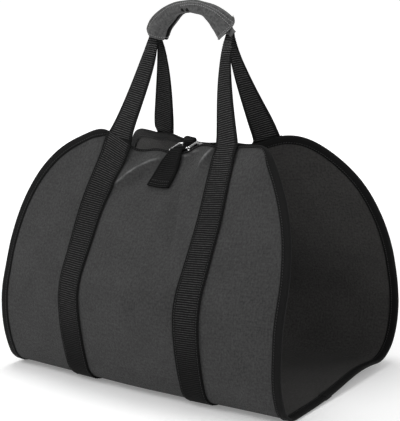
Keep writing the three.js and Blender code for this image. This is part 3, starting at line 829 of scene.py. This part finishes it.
handle = {
    "gripY": -16.0,
    "apartAtEnds": 10.0,
    "coreWidth": 6.4,
    "coreThick": 8.0,
    "twist": 12.0,
    "arriveUp": 0.95,
    "step": 0.01,  # for finding the way along the arch
}
# how each leg of a handle leaves its wall and enters the grip, at the left hand (-1) and the right (1)
legColumns = (
    "leanIn", "leave", "endX", "arriveX", "arriveY", "arrive",
    "turnTop", "turnFoot", "gathered", "spreadOut", "freeTurn", "footBend",
)
legRows = {
    ("near", -1): (8.6, 37, -6.0, -0.07, 0.29, 117, 10, -4, 10.5, 0.46, 0.3, 5),
    ("far", -1): (14, 31, -2.8, -0.055, -0.34, 136, 28, 0, 5, 0.64, 0.3, 12),
    ("near", 1): (5.5, 40, 6, 0.056, 0.47, 160, -10, 4, 7.7, 0.66, 0.3, 5),
    ("far", 1): (4.7, 61, 1.5, 0.177, -0.2, 116, -9, -20, 7.5, 0.71, 0.3, 5),
}
legs = {key: dict(zip(legColumns, row)) for key, row in legRows.items()}
# x, height, tall, deep along the grip from its left end to its right end
gripRows = np.array((
    (-57, 468.5, 26, 29),
    (-50.5, 485.5, 26, 29),
    (-37, 497.5, 22, 30),
    (-22.5, 506.5, 15, 31),
    (-7.5, 509.5, 13.5, 32),
    (9.5, 510, 16.5, 32),
    (27, 505.5, 18, 31),
    (44, 495, 25, 30),
    (58, 479.8, 37, 30),
), float)
lipLength = halfLength - binding["reach"]


def legAt(side, hand):
    return legs["near" if side < 0 else "far", hand]


def strapX(side, hand, distance):
    lean = ease((distance - webbing["leanFrom"]) / (lipLength - webbing["leanFrom"]))
    return hand * (webbing["fromMiddle"] - legAt(side, hand)["leanIn"] * lean)


def nearGripEnd(past):
    return ease(2 * past - 1)


def standoffAt(distance):
    belowLip = lipLength - distance
    share = ease((webbing["rampFrom"] - belowLip) / (webbing["rampFrom"] - webbing["rampTo"]))
    return mix(webbing["standoff"], webbing["tapeStandoff"], share)


def fromRows(share):
    last = len(gripRows) - 1
    place = share * last
    index = int(min(last - 1, max(0, math.floor(place))))
    before, start, end, after = gripRows[np.clip(np.arange(index - 1, index + 3), 0, last)]
    t = place - index
    cubic = 3 * (start - end) + after - before
    square = 2 * before - 5 * start + 4 * end - after
    return start + (t / 2) * (end - before + t * (square + t * cubic))


def archPoint(at, y):
    row = fromRows((at + 1) / 2)
    return np.array([row[0], y, row[1]])


def hermite(start, startPull, end, endPull, t):
    blend = (2 * t**3 - 3 * t**2 + 1, t**3 - 2 * t**2 + t, 3 * t**2 - 2 * t**3, t**3 - t**2)
    return start * blend[0] + startPull * blend[1] + end * blend[2] + endPull * blend[3]


def bandRing(centres, normals, thick):
    share = np.abs(np.linspace(-1, 1, len(centres)))
    half = (thick / 2 * (1 - webbing["selvedgeThin"] * share ** webbing["selvedgePower"]))[:, None]
    return np.concatenate([centres + normals * half, (centres - normals * half)[::-1]])


def bandAround(width, columns):
    places = np.linspace(-width / 2, width / 2, columns)
    return np.concatenate([places, places[::-1], places[:1]])


# One strap and its handle. Along the handle, -2 and 2 are the wall's top edge at its left and right foot,
# and -1 to 1 is inside the grip.
class Strap:
    def __init__(self, side):
        self.side = side
        self.columns = np.linspace(-0.5, 0.5, webbing["columns"])
        self.feet = {hand: self.footOf(hand) for hand in (-1, 1)}

    def footOf(self, hand):
        place = (strapX(self.side, hand, halfLength), self.side * halfLength)
        below = (strapX(self.side, hand, lipLength), self.side * lipLength)
        top = offCloth(*place, webbing["tapeStandoff"])
        leave = unit(top - offCloth(*below, webbing["tapeStandoff"])) * legAt(self.side, hand)["leave"]
        return top, leave, outwardOf(cloth, *place)

    def wallRing(self, hand, distance):
        x = strapX(self.side, hand, distance) - self.side * hand * self.columns * webbing["width"]
        across = np.full_like(x, self.side * distance)
        normals = outwardOf(cloth, x, across)
        return bandRing(cloth(x, across) + normals * standoffAt(distance), normals, webbing["thick"])

    def centre(self, along):
        past = abs(along)
        hand = -1 if along < 0 else 1
        leg = legAt(self.side, hand)
        apart = mix(handle["coreThick"] + gap, handle["apartAtEnds"], ease(past)) / 2
        if past <= 1:
            place = archPoint(along, handle["gripY"] + self.side * apart)
            return place + along3 * leg["endX"] * nearGripEnd(past)
        top, leave = self.feet[hand][:2]
        end = archPoint(hand, handle["gripY"] + self.side * handle["apartAtEnds"] / 2) + along3 * leg["endX"]
        arrive = np.array([leg["arriveX"], leg["arriveY"], handle["arriveUp"]]) * leg["arrive"]
        return hermite(top, leave, end, arrive, 2 - past)

    def handleFrame(self, along):
        past = abs(along)
        hand = -1 if along < 0 else 1
        leg = legAt(self.side, hand)
        step = handle["step"]
        forward = unit(self.centre(min(2, along + step)) - self.centre(max(-2, along - step)))
        facing = mix(across3 * self.side, self.feet[hand][2], max(0.0, past - 1) ** leg["footBend"])
        sideways = unit(np.cross(facing, forward))
        turn = leg["turnTop"] * nearGripEnd(past)
        if past > 1:
            turn = mix(leg["turnTop"], leg["turnFoot"], past - 1) * ease((2 - past) / leg["freeTurn"])
            turn = turn + handle["twist"] * hand * math.sin((past - 1) * math.pi)
        turn = math.radians(turn)
        sideways = sideways * math.cos(turn) + np.cross(forward, sideways) * math.sin(turn)
        return self.centre(along), sideways, np.cross(forward, sideways)

    def handleRing(self, along):
        past = abs(along)
        leg = legAt(self.side, -1 if along < 0 else 1)
        centre, sideways, normal = self.handleFrame(along)
        curl = math.radians(webbing["curl"])
        if past > 1:
            spread = ease((past - 1) ** leg["spreadOut"])
            wide = mix(leg["gathered"], webbing["width"], spread)
            curl = curl * (1 - spread)
        else:
            wide = mix(handle["coreWidth"], leg["gathered"], ease(past))
        aside, depth, slope = curledBand(self.columns, wide, curl)
        centres = centre + sideways * aside[:, None] + normal * depth[:, None]
        normals = unit(normal * np.cos(slope)[:, None] + sideways * np.sin(slope)[:, None])
        return bandRing(centres, normals, webbing["thick"])


def curledBand(columns, wide, curl):
    turn = curl * columns
    if curl < webbing["leastCurl"]:
        return columns * wide, np.zeros_like(columns), np.zeros_like(columns)
    radius = webbing["width"] / curl * webbing["curlDepth"]
    widest = math.sin(min(curl, math.pi) / 2)
    aside = wide / 2 * np.sin(turn) / widest
    depth = -radius * (1 - np.cos(turn))
    depth = depth - (depth.max() + depth.min()) / 2
    slope = np.arctan2(-np.gradient(depth), np.gradient(aside))
    return aside, depth, slope


def strapPieces(side, name, node):
    strap = Strap(side)
    climb = np.concatenate([
        [gap / 2],
        np.arange(webbing["floorRow"], canvas["cornerFrom"], webbing["floorRow"]),
        np.arange(canvas["cornerFrom"], canvas["cornerTo"], webbing["cornerRow"]),
        np.arange(canvas["cornerTo"], webbing["lipFrom"], webbing["wallRow"]),
        np.arange(webbing["lipFrom"], halfLength, webbing["lipRow"]),
        [halfLength],
    ])
    leg = np.linspace(-2, -1, webbing["legStations"])[1:]
    arch = np.linspace(-1, 0, webbing["archStations"])[1:]
    places = np.concatenate([leg, arch])
    places = np.concatenate([places, -places[-2::-1]])
    rings = [strap.wallRing(-1, up) for up in climb]
    rings += [strap.handleRing(along) for along in places]
    rings += [strap.wallRing(1, up) for up in climb[::-1]]
    rings = np.stack(rings)
    count = webbing["columns"]
    along = lengthsAlong(rings[:, count // 2])
    faces, corners = sweepFaces(rings, along - along[-1] / 2, bandAround(webbing["width"], count))
    newPiece(name, rings.reshape(-1, 3), faces, corners, [strapWebbing], [node])
    runs = []
    sewn = np.arange(*webbing["sewn"])
    for hand in (-1, 1):
        for edge in (-1, 1):
            inset = edge * (webbing["width"] / 2 - webbing["stitchIn"])
            x = strapX(side, hand, sewn) + inset
            across = side * sewn
            normals = outwardOf(cloth, x, across)
            line = cloth(x, across) + normals * (standoffAt(sewn) + webbing["thick"] / 2)[:, None]
            runs.append(stitchRow(line, normals, **webbing["stitch"]))
    stitchPiece(name + "Stitching", runs, darkThread)
    runs = []
    for along in np.linspace(*webbing["barTack"], webbing["barTackRows"]):
        for hand in (-1, 1):
            ring = strap.handleRing(hand * along)[1 : count - 1]
            outward = np.tile(strap.handleFrame(hand * along)[2], (len(ring), 1))
            runs.append(stitchRow(ring, outward, **webbing["barTackStitch"]))
    stitchPiece(name + "BarTacks", runs, greyThread)


# Padded grip
grip = {
    "thick": 2.2,
    "squareness": 3.0,
    "endSquareness": 2.2,
    "lap": 50.0,
    "lapRamp": 40.0,
    "edgeAtLeft": 324.0,
    "edgeAtRight": 346.0,
    "edgeRise": -24.0,  # how far the lap edge turns at the top of the arch, in degrees
    "leftOuterRound": 7.0,
    "leftInnerRound": 0.5,
    "rightOuterRound": 8.0,
    "rightPinch": 0.75,
    "rightInnerReach": -1.0,
    "rightSlant": 0.36,
    "endLength": 0.09,  # lengths along the grip are shares of it
    "cornerLength": 0.07,
    "slantLength": 0.12,
    "around": 140,
    "stations": 92,
    "endStations": (0.0, 0.004, 0.01, 0.016, 0.022, 0.028),
    "fill": 0.35,
    "hem": 4.4,
    "hemDip": 0.7,
    "hemDipWide": 1.1,
    "hemRoll": 1.2,
    "edgeThin": 0.55,
    "endThinLength": 0.9,
    "lapThinTurn": 4.0,
    "slitAngle": 178.0,
    "slitWide": 9.0,
    "slitDeep": 3.6,
    "slitEnd": 0.47,
    "slitFade": 0.03,
    "slitShadowWide": 12.0,  # the painted shadow beside the slit, in degrees to each side of its middle
    "paintedShadowFrom": 0.55,
    "notchAngle": 252.0,
    "notchWide": 19.0,
    "notches": (0.513, 0.574),
    "notchLength": 0.027,
    "gatherAt": 0.43,
    "gatherLength": 0.12,
    "gatherWide": 48.0,
    "gatherWaves": (130.0, 17.0),
    "gatherHeight": 0.7,
    "softWaves": ((21.0, 29.0), (9.0, 41.0)),
    "softHeight": 0.45,
    "wrinkleWide": 1.9,
    "wrinkleSway": 1.5,
    "wrinkleWaves": 34.0,
    "length": 166.0,  # of the flat cloth, for its hems and its weave
    "girth": 75.0,
    "stitch": {"pitch": 3.0, "length": 2.5, "wide": 1.3, "tall": 0.9},
    "stitchPoints": 120,
    "secondRowIn": 13.0,  # a second row along the lap edge, on the right half
    "secondRowFrom": 0.5,
    "endRowTurn": 340.0,
    "outerEndRow": 0.45,
}
lapEnd = 360 + grip["lap"]
# wrinkles along the right half: distance in from the lap edge, place and spread along the grip, height
gripWrinkles = (
    (13.0, 0.80, 0.16, 1.4),
    (21.0, 0.88, 0.11, 1.1),
    (29.0, 0.78, 0.12, -0.8),
)


def gripFrame(at):
    middle = archPoint(at, handle["gripY"])
    ahead, behind = [archPoint(at + step, handle["gripY"]) for step in (handle["step"], -handle["step"])]
    forward = unit(ahead - behind)
    return middle, forward, unit(np.cross(-across3, forward))


def gripStart(share):
    edge = mix(grip["edgeAtLeft"], grip["edgeAtRight"], float(ease(share)))
    return edge + grip["edgeRise"] * math.sin(math.pi * share) - grip["lap"]


def bell(offset):
    return np.exp(-(offset**2))


def gripPoint(share, turn, depth):
    middle, forward, outward = gripFrame(2 * share - 1)
    tallSize, deepSize = fromRows(share)[2:]
    angle = np.radians(gripStart(share) + turn)
    tall = np.cos(angle)
    deep = np.sin(angle)
    fromEnd = ease(min(share, 1 - share) / grip["endLength"])
    power = mix(grip["endSquareness"], grip["squareness"], fromEnd)
    high = tallSize / 2 - depth
    thick = deepSize / 2 - depth
    reach = (np.abs(tall / high) ** power + np.abs(deep / thick) ** power) ** (-1 / power)
    corner = (np.abs(tall * reach) / (tallSize / 2)) ** 4
    fromLeft = max(0.0, 1 - share / grip["cornerLength"])
    fromRight = max(0.0, 1 - (1 - share) / grip["cornerLength"])
    leftShift = np.where(tall > 0, grip["leftOuterRound"], grip["leftInnerRound"]) * fromLeft
    rightShift = np.where(tall > 0, -grip["rightOuterRound"], grip["rightInnerReach"]) * fromRight
    nearRight = ease(1 - (1 - share) / grip["slantLength"])
    slant = grip["rightSlant"] * nearRight * deep * reach
    shift = (leftShift + rightShift) * corner - slant
    pressed = 1 - grip["rightPinch"] * nearRight * np.maximum(tall, 0.0) ** 2
    return (
        middle
        + outward * (tall * reach)[:, None]
        + across3 * (deep * reach * pressed)[:, None]
        + forward * shift[:, None]
    )


def gripOpening(share, angle):
    # the slit under the left half, where the flap's edge stands open, and two notches past its end
    around = (angle - grip["slitAngle"] + 180) % 360 - 180
    gapes = ease((grip["slitEnd"] - share) / grip["slitFade"])
    slit = bell(around / grip["slitWide"]) * gapes
    notch = bell((around + grip["slitAngle"] - grip["notchAngle"]) / grip["notchWide"])
    notch = notch * max(bell((share - at) / grip["notchLength"]) for at in grip["notches"])
    # a band beside the slit, painted dark as a shadow
    slitShadow = gapes * (np.abs(around + grip["slitShadowWide"]) < grip["slitShadowWide"])
    return around, np.maximum(slit, notch), slitShadow


def gripSurface(share, turn, layer):
    # layer 1 is the outer face and 0 the inner one
    lift = (grip["thick"] + gap) * ease((turn - (360 - grip["lapRamp"])) / grip["lapRamp"])
    angle = gripStart(share) + turn
    around, opened = gripOpening(share, angle)[:2]
    waves, slope = grip["gatherWaves"]
    gathers = bell(around / grip["gatherWide"]) * bell((share - grip["gatherAt"]) / grip["gatherLength"])
    gathers = gathers * np.sin(share * waves + angle / slope)
    first, second = [np.sin(share * waves + angle / slope) for waves, slope in grip["softWaves"]]
    fromEnd = min(share, 1 - share) * grip["length"]
    fromLap = (lapEnd - turn) / 360 * grip["girth"]
    dips = sum(bell((distance - grip["hem"]) / grip["hemDipWide"]) for distance in (fromLap, fromEnd))
    fromEdge = np.minimum(turn, lapEnd - turn)
    thin = np.maximum(math.exp(-fromEnd / grip["endThinLength"]), np.exp(-fromEdge / grip["lapThinTurn"]))
    thin = grip["edgeThin"] * thin
    crown = grip["gatherHeight"] * gathers + grip["softHeight"] * first * second
    crown = crown + grip["hemRoll"] * np.exp(-((fromLap / grip["hem"]) ** 4))
    crown = crown * (1 - thin) - grip["hemDip"] * np.minimum(dips, 1.0)
    for inset, place, spread, height in gripWrinkles:
        sway = grip["wrinkleSway"] * math.sin(share * grip["wrinkleWaves"] + inset)
        aside = (fromLap - inset - sway) / grip["wrinkleWide"]
        crown = crown + height * bell(aside) * bell((share - place) / spread)
    crown = crown - grip["slitDeep"] * opened
    depth = -lift - crown + thin if layer else grip["thick"] - lift - crown - thin
    return gripPoint(share, turn, depth)


def gripLine(shares, turns):
    # points on the outer face, and the way out of the cloth there
    outer, inner = [
        np.stack([gripSurface(share, np.array([turn]), layer)[0] for share, turn in zip(shares, turns)])
        for layer in (1, 0)
    ]
    return outer, unit(outer - inner)


def gripPieces():
    turn = np.linspace(0, lapEnd, grip["around"])
    *ends, innerFrom = grip["endStations"]
    inner = np.linspace(innerFrom, 1 - innerFrom, grip["stations"] - 2 * len(ends))
    shares = np.concatenate([ends, inner, 1 - np.array(ends)[::-1]])
    outside = np.stack([gripSurface(share, turn, 1) for share in shares])
    inside = np.stack([gripSurface(share, turn, 0) for share in shares])
    length = lengthsAlong(outside[:, grip["around"] // 2])
    girth = turn / 360 * grip["girth"]
    flat = np.stack(np.broadcast_arrays(girth[None, :], length[:, None]), -1)
    faces, corners, looks = panelFaces(*flat.shape[:2], flat)
    points = np.concatenate([outside.reshape(-1, 3), inside.reshape(-1, 3)])
    # faces in the slit, the notches and beside the slit take the black tape finish as a painted shadow
    opened = np.stack([np.maximum(*gripOpening(share, gripStart(share) + turn)[1:]) for share in shares])
    middles = (opened[:-1, :-1] + opened[1:, 1:]) / 2
    looks[: middles.size] = (middles > grip["paintedShadowFrom"]).ravel()
    looks[middles.size :] = 0
    piece = newPiece(
        "gripWrap", points, faces, corners, [gripCanvas, bindingTape], ["grip_wrap"], looks
    )
    hemTurn = grip["hem"] / grip["girth"] * 360
    hemShare = grip["hem"] / grip["length"]
    count = grip["stitchPoints"]
    runs = []
    for inset, start in ((hemTurn, hemShare), (hemTurn + grip["secondRowIn"], grip["secondRowFrom"])):
        line = gripLine(np.linspace(start, 1 - hemShare, count), np.full(count, lapEnd - inset))
        runs.append(stitchRow(*line, **grip["stitch"]))
    for share in (hemShare, 1 - hemShare, 1 - grip["outerEndRow"] * hemShare):
        turns = np.linspace(lapEnd - grip["endRowTurn"], lapEnd - hemTurn, count)
        line = gripLine(np.full(count, share), turns)
        runs.append(stitchRow(*line, **grip["stitch"]))
    stitchPiece("gripStitching", runs, paleThread)


# Small tab at the grip's right end
endTab = {
    "wide": 11.0,
    "thick": 1.4,
    "inside": 9.0,
    "outside": 13.5,
    "outward": 5.2,
    "lean": 4.2,
    "kick": 4.4,
    "cup": 0.7,
    "taper": 0.06,
    "taperFrom": 0.75,
    "clearance": 3.45,
    "columns": 11,
    "stations": 18,
}


def endTabPiece():
    middle, forward, outward = gripFrame(1)
    deep = gripRows[-1][3]
    inWrap = deep / 2 - grip["thick"] - endTab["clearance"] - endTab["thick"] / 2
    columns = np.linspace(-0.5, 0.5, endTab["columns"])
    rings = []
    stations = np.linspace(-endTab["inside"], endTab["outside"], endTab["stations"])
    for along in stations:
        bend = max(0.0, along / endTab["outside"])
        centre = middle + forward * along + outward * (endTab["outward"] + endTab["lean"] * bend)
        centre = np.array([centre[0], handle["gripY"] - inWrap - endTab["kick"] * bend, centre[2]])
        narrow = 1 - endTab["taper"] * max(0.0, bend - endTab["taperFrom"]) / (1 - endTab["taperFrom"])
        cupped = endTab["cup"] * bend * (1 - (2 * columns) ** 2)
        centres = centre + outward * (columns * endTab["wide"] * narrow)[:, None] - across3 * cupped[:, None]
        rings.append(bandRing(centres, np.tile(-across3, (len(columns), 1)), endTab["thick"]))
    rings = np.stack(rings)
    faces, corners = sweepFaces(rings, stations, bandAround(endTab["wide"], endTab["columns"]))
    newPiece("gripTab", rings.reshape(-1, 3), faces, corners, [gripCanvas], ["grip_tab"])


# Closure: two rings and a webbing tab from each wall
closure = {
    "hemWidth": 36.0,
    "loopWidth": 20.0,
    "hemX": {-1: -4.0, 1: -24.0},
    "edgeX": {-1: 5.0, 1: -18.0},
    "loopX": 5.0,
    "hemUp": 444.0,
    "hemThick": 0.5,  # the turned-under hem is double
    "hemTo": 0.2,
    "hemStep": 0.06,
    "hemShares": (0.0, 0.02),
    "wallShares": (0.06, 0.95, 16),  # first, last and count, here and for the turns in degrees
    "edgeTurns": (20, 90, 6),
    "loopTurns": (100, -90, 16),
    "tail": 5.0,
    "slack": 0.55,
    "pastHandleLightAndWear": 600.0,  # as far along the webbing as the strap's dark lower end, clear of the painted light and wear near the handle
    "stitchRows": (0.07, 0.16),
    "stitchHeight": 1.6,
    "stitch": {"pitch": 3.0, "length": 2.3, "wide": 0.8, "tall": 0.7},
    "nearBar": (2.5, -52.5, 321.0),
    "farBar": (2.5, -29.0, 327.0),
    "ringRoll": 10.0,
    "lowerAside": 5.5,
    "columns": 13,
    "wire": 3.2,
    "inside": 29.5,
    "cornerRound": 2.4,
    "cornerStations": 9,
    "wireSides": 20,
}
ringNear = np.array(closure["nearBar"])
ringFar = np.array(closure["farBar"])
ringAlong = unit(ringFar - ringNear)
ringRoll = math.radians(closure["ringRoll"])
ringAcross = along3 * math.cos(ringRoll) + np.cross(along3, ringAlong) * math.sin(ringRoll)
ringUp = np.cross(ringAcross, ringAlong)
ringDrop = closure["wire"] + gap


def ringPiece(name, node, drop, aside):
    halfAcross = (closure["inside"] + closure["wire"]) / 2
    halfAlong = np.linalg.norm(ringFar - ringNear) / 2
    middle = (ringNear + ringFar) / 2 - ringUp * drop + ringAcross * aside
    rounding = closure["cornerRound"]
    spin = np.arange(closure["wireSides"]) * 2 * math.pi / closure["wireSides"]
    rings = []
    for corner in range(4):
        signX = 1 if corner in (0, 3) else -1
        signY = 1 if corner < 2 else -1
        for turn in (corner + np.linspace(0, 1, closure["cornerStations"])) * math.pi / 2:
            placeX = signX * (halfAcross - rounding) + rounding * math.cos(turn)
            placeY = signY * (halfAlong - rounding) + rounding * math.sin(turn)
            away = ringAcross * math.cos(turn) + ringAlong * math.sin(turn)
            around = away * np.cos(spin)[:, None] + ringUp * np.sin(spin)[:, None]
            rings.append(middle + ringAcross * placeX + ringAlong * placeY + around * closure["wire"] / 2)
    rings = np.stack(rings)
    along = lengthsAlong(np.concatenate([rings[:, 0], rings[:1, 0]]))
    around = np.append(spin, 2 * math.pi) * closure["wire"] / 2
    faces, corners = sweepFaces(rings, along, around, closed=True)
    newPiece(name, rings.reshape(-1, 3), faces, corners, [steel], [node])


def closureTabPieces(side, name, node):
    bar = ringNear if side < 0 else ringFar
    bar = bar + ringAcross * (closure["loopX"] - bar[0])
    inward = -side * ringAlong
    loopRadius = closure["wire"] / 2 + gap + webbing["thick"] / 2
    overTape = binding["thick"] + 2 * gap + webbing["thick"] / 2 + closure["slack"]
    climb = halfLength - closure["hemUp"]
    columns = np.linspace(-0.5, 0.5, closure["columns"])
    rings = []

    def columnsAt(share):
        width = mix(closure["hemWidth"], closure["loopWidth"], share**3)
        return mix(closure["hemX"][side], closure["edgeX"][side], share) - side * columns * width

    def onWall(share):
        distance = closure["hemUp"] + share * climb
        x = columnsAt(share)
        across = np.full_like(x, side * distance)
        return cloth(x, across), outwardOf(cloth, x, across), standoffAt(distance) + closure["slack"]

    def onLoop(centre, normal):
        centres = centre - side * ringAcross * (columns * closure["loopWidth"])[:, None]
        return bandRing(centres, np.tile(normal, (len(columns), 1)), webbing["thick"])

    for share in np.concatenate([closure["hemShares"], np.linspace(*closure["wallShares"])]):
        base, normals, stand = onWall(share)
        hem = closure["hemThick"] * (1 - ease((share - closure["hemTo"]) / closure["hemStep"]))
        rings.append(bandRing(base + normals * (stand + hem / 2), normals, webbing["thick"] + hem))
    edge, outward, stand = onWall(1.0)
    x = columnsAt(1.0)
    rise = unit(edge - cloth(x, np.full_like(x, side * lipLength)))
    for turn in np.linspace(*closure["edgeTurns"]):
        lean = math.radians(turn)
        normals = outward * math.cos(lean) + rise * math.sin(lean)
        centres = edge + outward * (stand * math.cos(lean)) + rise * overTape
        rings.append(bandRing(centres, normals, webbing["thick"]))
    for turn in np.linspace(*closure["loopTurns"]):
        lean = math.radians(turn)
        normal = inward * math.cos(lean) + ringUp * math.sin(lean)
        rings.append(onLoop(bar + normal * loopRadius - ringUp * (ringDrop if turn < 0 else 0.0), normal))
    rings.append(onLoop(bar - ringUp * (ringDrop + loopRadius) - inward * closure["tail"], -ringUp))
    rings = np.stack(rings)
    along = lengthsAlong(rings[:, closure["columns"] // 2]) + closure["pastHandleLightAndWear"]
    faces, corners = sweepFaces(rings, along, bandAround(webbing["width"], closure["columns"]))
    newPiece(name, rings.reshape(-1, 3), faces, corners, [strapWebbing], [node])
    runs = []
    for share in closure["stitchRows"]:
        base, normals, stand = onWall(share)
        line = base + normals * (stand + closure["stitchHeight"])
        runs.append(stitchRow(line[1:-1], normals[1:-1], **closure["stitch"]))
    stitchPiece(name + "Stitching", runs, darkThread)


canvasPiece()
bindingPieces()
strapPieces(-1, "frontWebbing", "front_webbing")
strapPieces(1, "backWebbing", "back_webbing")
gripPieces()
endTabPiece()
closureTabPieces(-1, "closureTabFront", "closure_tab_front")
closureTabPieces(1, "closureTabBack", "closure_tab_back")
ringPiece("closureRingUpper", "closure_ring_upper", 0.0, 0.0)
ringPiece("closureRingLower", "closure_ring_lower", ringDrop, closure["lowerAside"])
print("carrier made")

# Studio: pale floor, soft lights and the camera
studio = {
    "floorHalf": 40.0,
    "floorLevel": 246,
    "nearGlow": 0.2,
    "farGlow": 0.62,
    "glowFrom": 0.5,
    "glowTo": 2.5,
    "worldStrength": 0.45,
    "aimAt": (0.0, 0.0, 0.22),
}
lights = (
    # name, place in metres, size, watts
    ("keyLight", (-1.9, -1.7, 2.0), 1.2, 30.0),
    ("fillLight", (2.6, -1.6, 1.8), 2.4, 4.0),
    ("topLight", (-0.3, 0.2, 2.8), 1.6, 36.0),
    ("endLight", (2.2, -0.35, 0.75), 1.0, 9.0),
)
view = {
    "azimuth": 33.98,
    "elevation": 11.19,
    "distance": 1.703,
    "target": (0.0015, 0.0, 0.227),
    "lens": 103.38,
}


def paleFloor():
    half = studio["floorHalf"]
    mesh = bpy.data.meshes.new("studioFloor")
    corners = [(-half, -half, 0), (half, -half, 0), (half, half, 0), (-half, half, 0)]
    mesh.from_pydata(corners, [], [(0, 1, 2, 3)])
    shade = Shade("studioFloor")
    place = shade.node("ShaderNodeNewGeometry", {}, {})
    away = shade.node("ShaderNodeVectorMath", {"operation": "LENGTH"}, {0: place}, 1)
    glow = [(studio[key],) * 3 + (1.0,) for key in ("nearGlow", "farGlow")]
    mesh.materials.append(shade.finish({
        "Base Color": grey(studio["floorLevel"]),
        "Roughness": 0.9,
        "Emission Color": shade.blend(away.above(studio["glowFrom"], studio["glowTo"]), *glow),
        "Emission Strength": 1.0,
    }))
    floor = bpy.data.objects.new("studioFloor", mesh)
    bpy.context.scene.collection.objects.link(floor)


def aim(thing, place, target):
    thing.location = place
    thing.rotation_euler = (Vector(target) - Vector(place)).to_track_quat("-Z", "Y").to_euler()
    bpy.context.scene.collection.objects.link(thing)


def studioLights():
    world = bpy.data.worlds.new("studioWorld")
    world.use_nodes = True
    world.node_tree.nodes["Background"].inputs["Color"].default_value = (1.0, 1.0, 1.0, 1.0)
    world.node_tree.nodes["Background"].inputs["Strength"].default_value = studio["worldStrength"]
    bpy.context.scene.world = world
    bpy.context.scene.view_settings.view_transform = "Standard"
    for name, place, size, watts in lights:
        lamp = bpy.data.lights.new(name, "AREA")
        lamp.size = size
        lamp.energy = watts
        aim(bpy.data.objects.new(name, lamp), place, studio["aimAt"])


def photoCamera():
    azimuth = math.radians(view["azimuth"])
    elevation = math.radians(view["elevation"])
    back = Vector((
        math.sin(azimuth) * math.cos(elevation),
        -math.cos(azimuth) * math.cos(elevation),
        math.sin(elevation),
    ))
    lens = bpy.data.cameras.new("photoCamera")
    lens.lens = view["lens"]
    camera = bpy.data.objects.new("photoCamera", lens)
    aim(camera, Vector(view["target"]) + back * view["distance"], view["target"])
    bpy.context.scene.camera = camera


paleFloor()
studioLights()
photoCamera()
print("studio set")
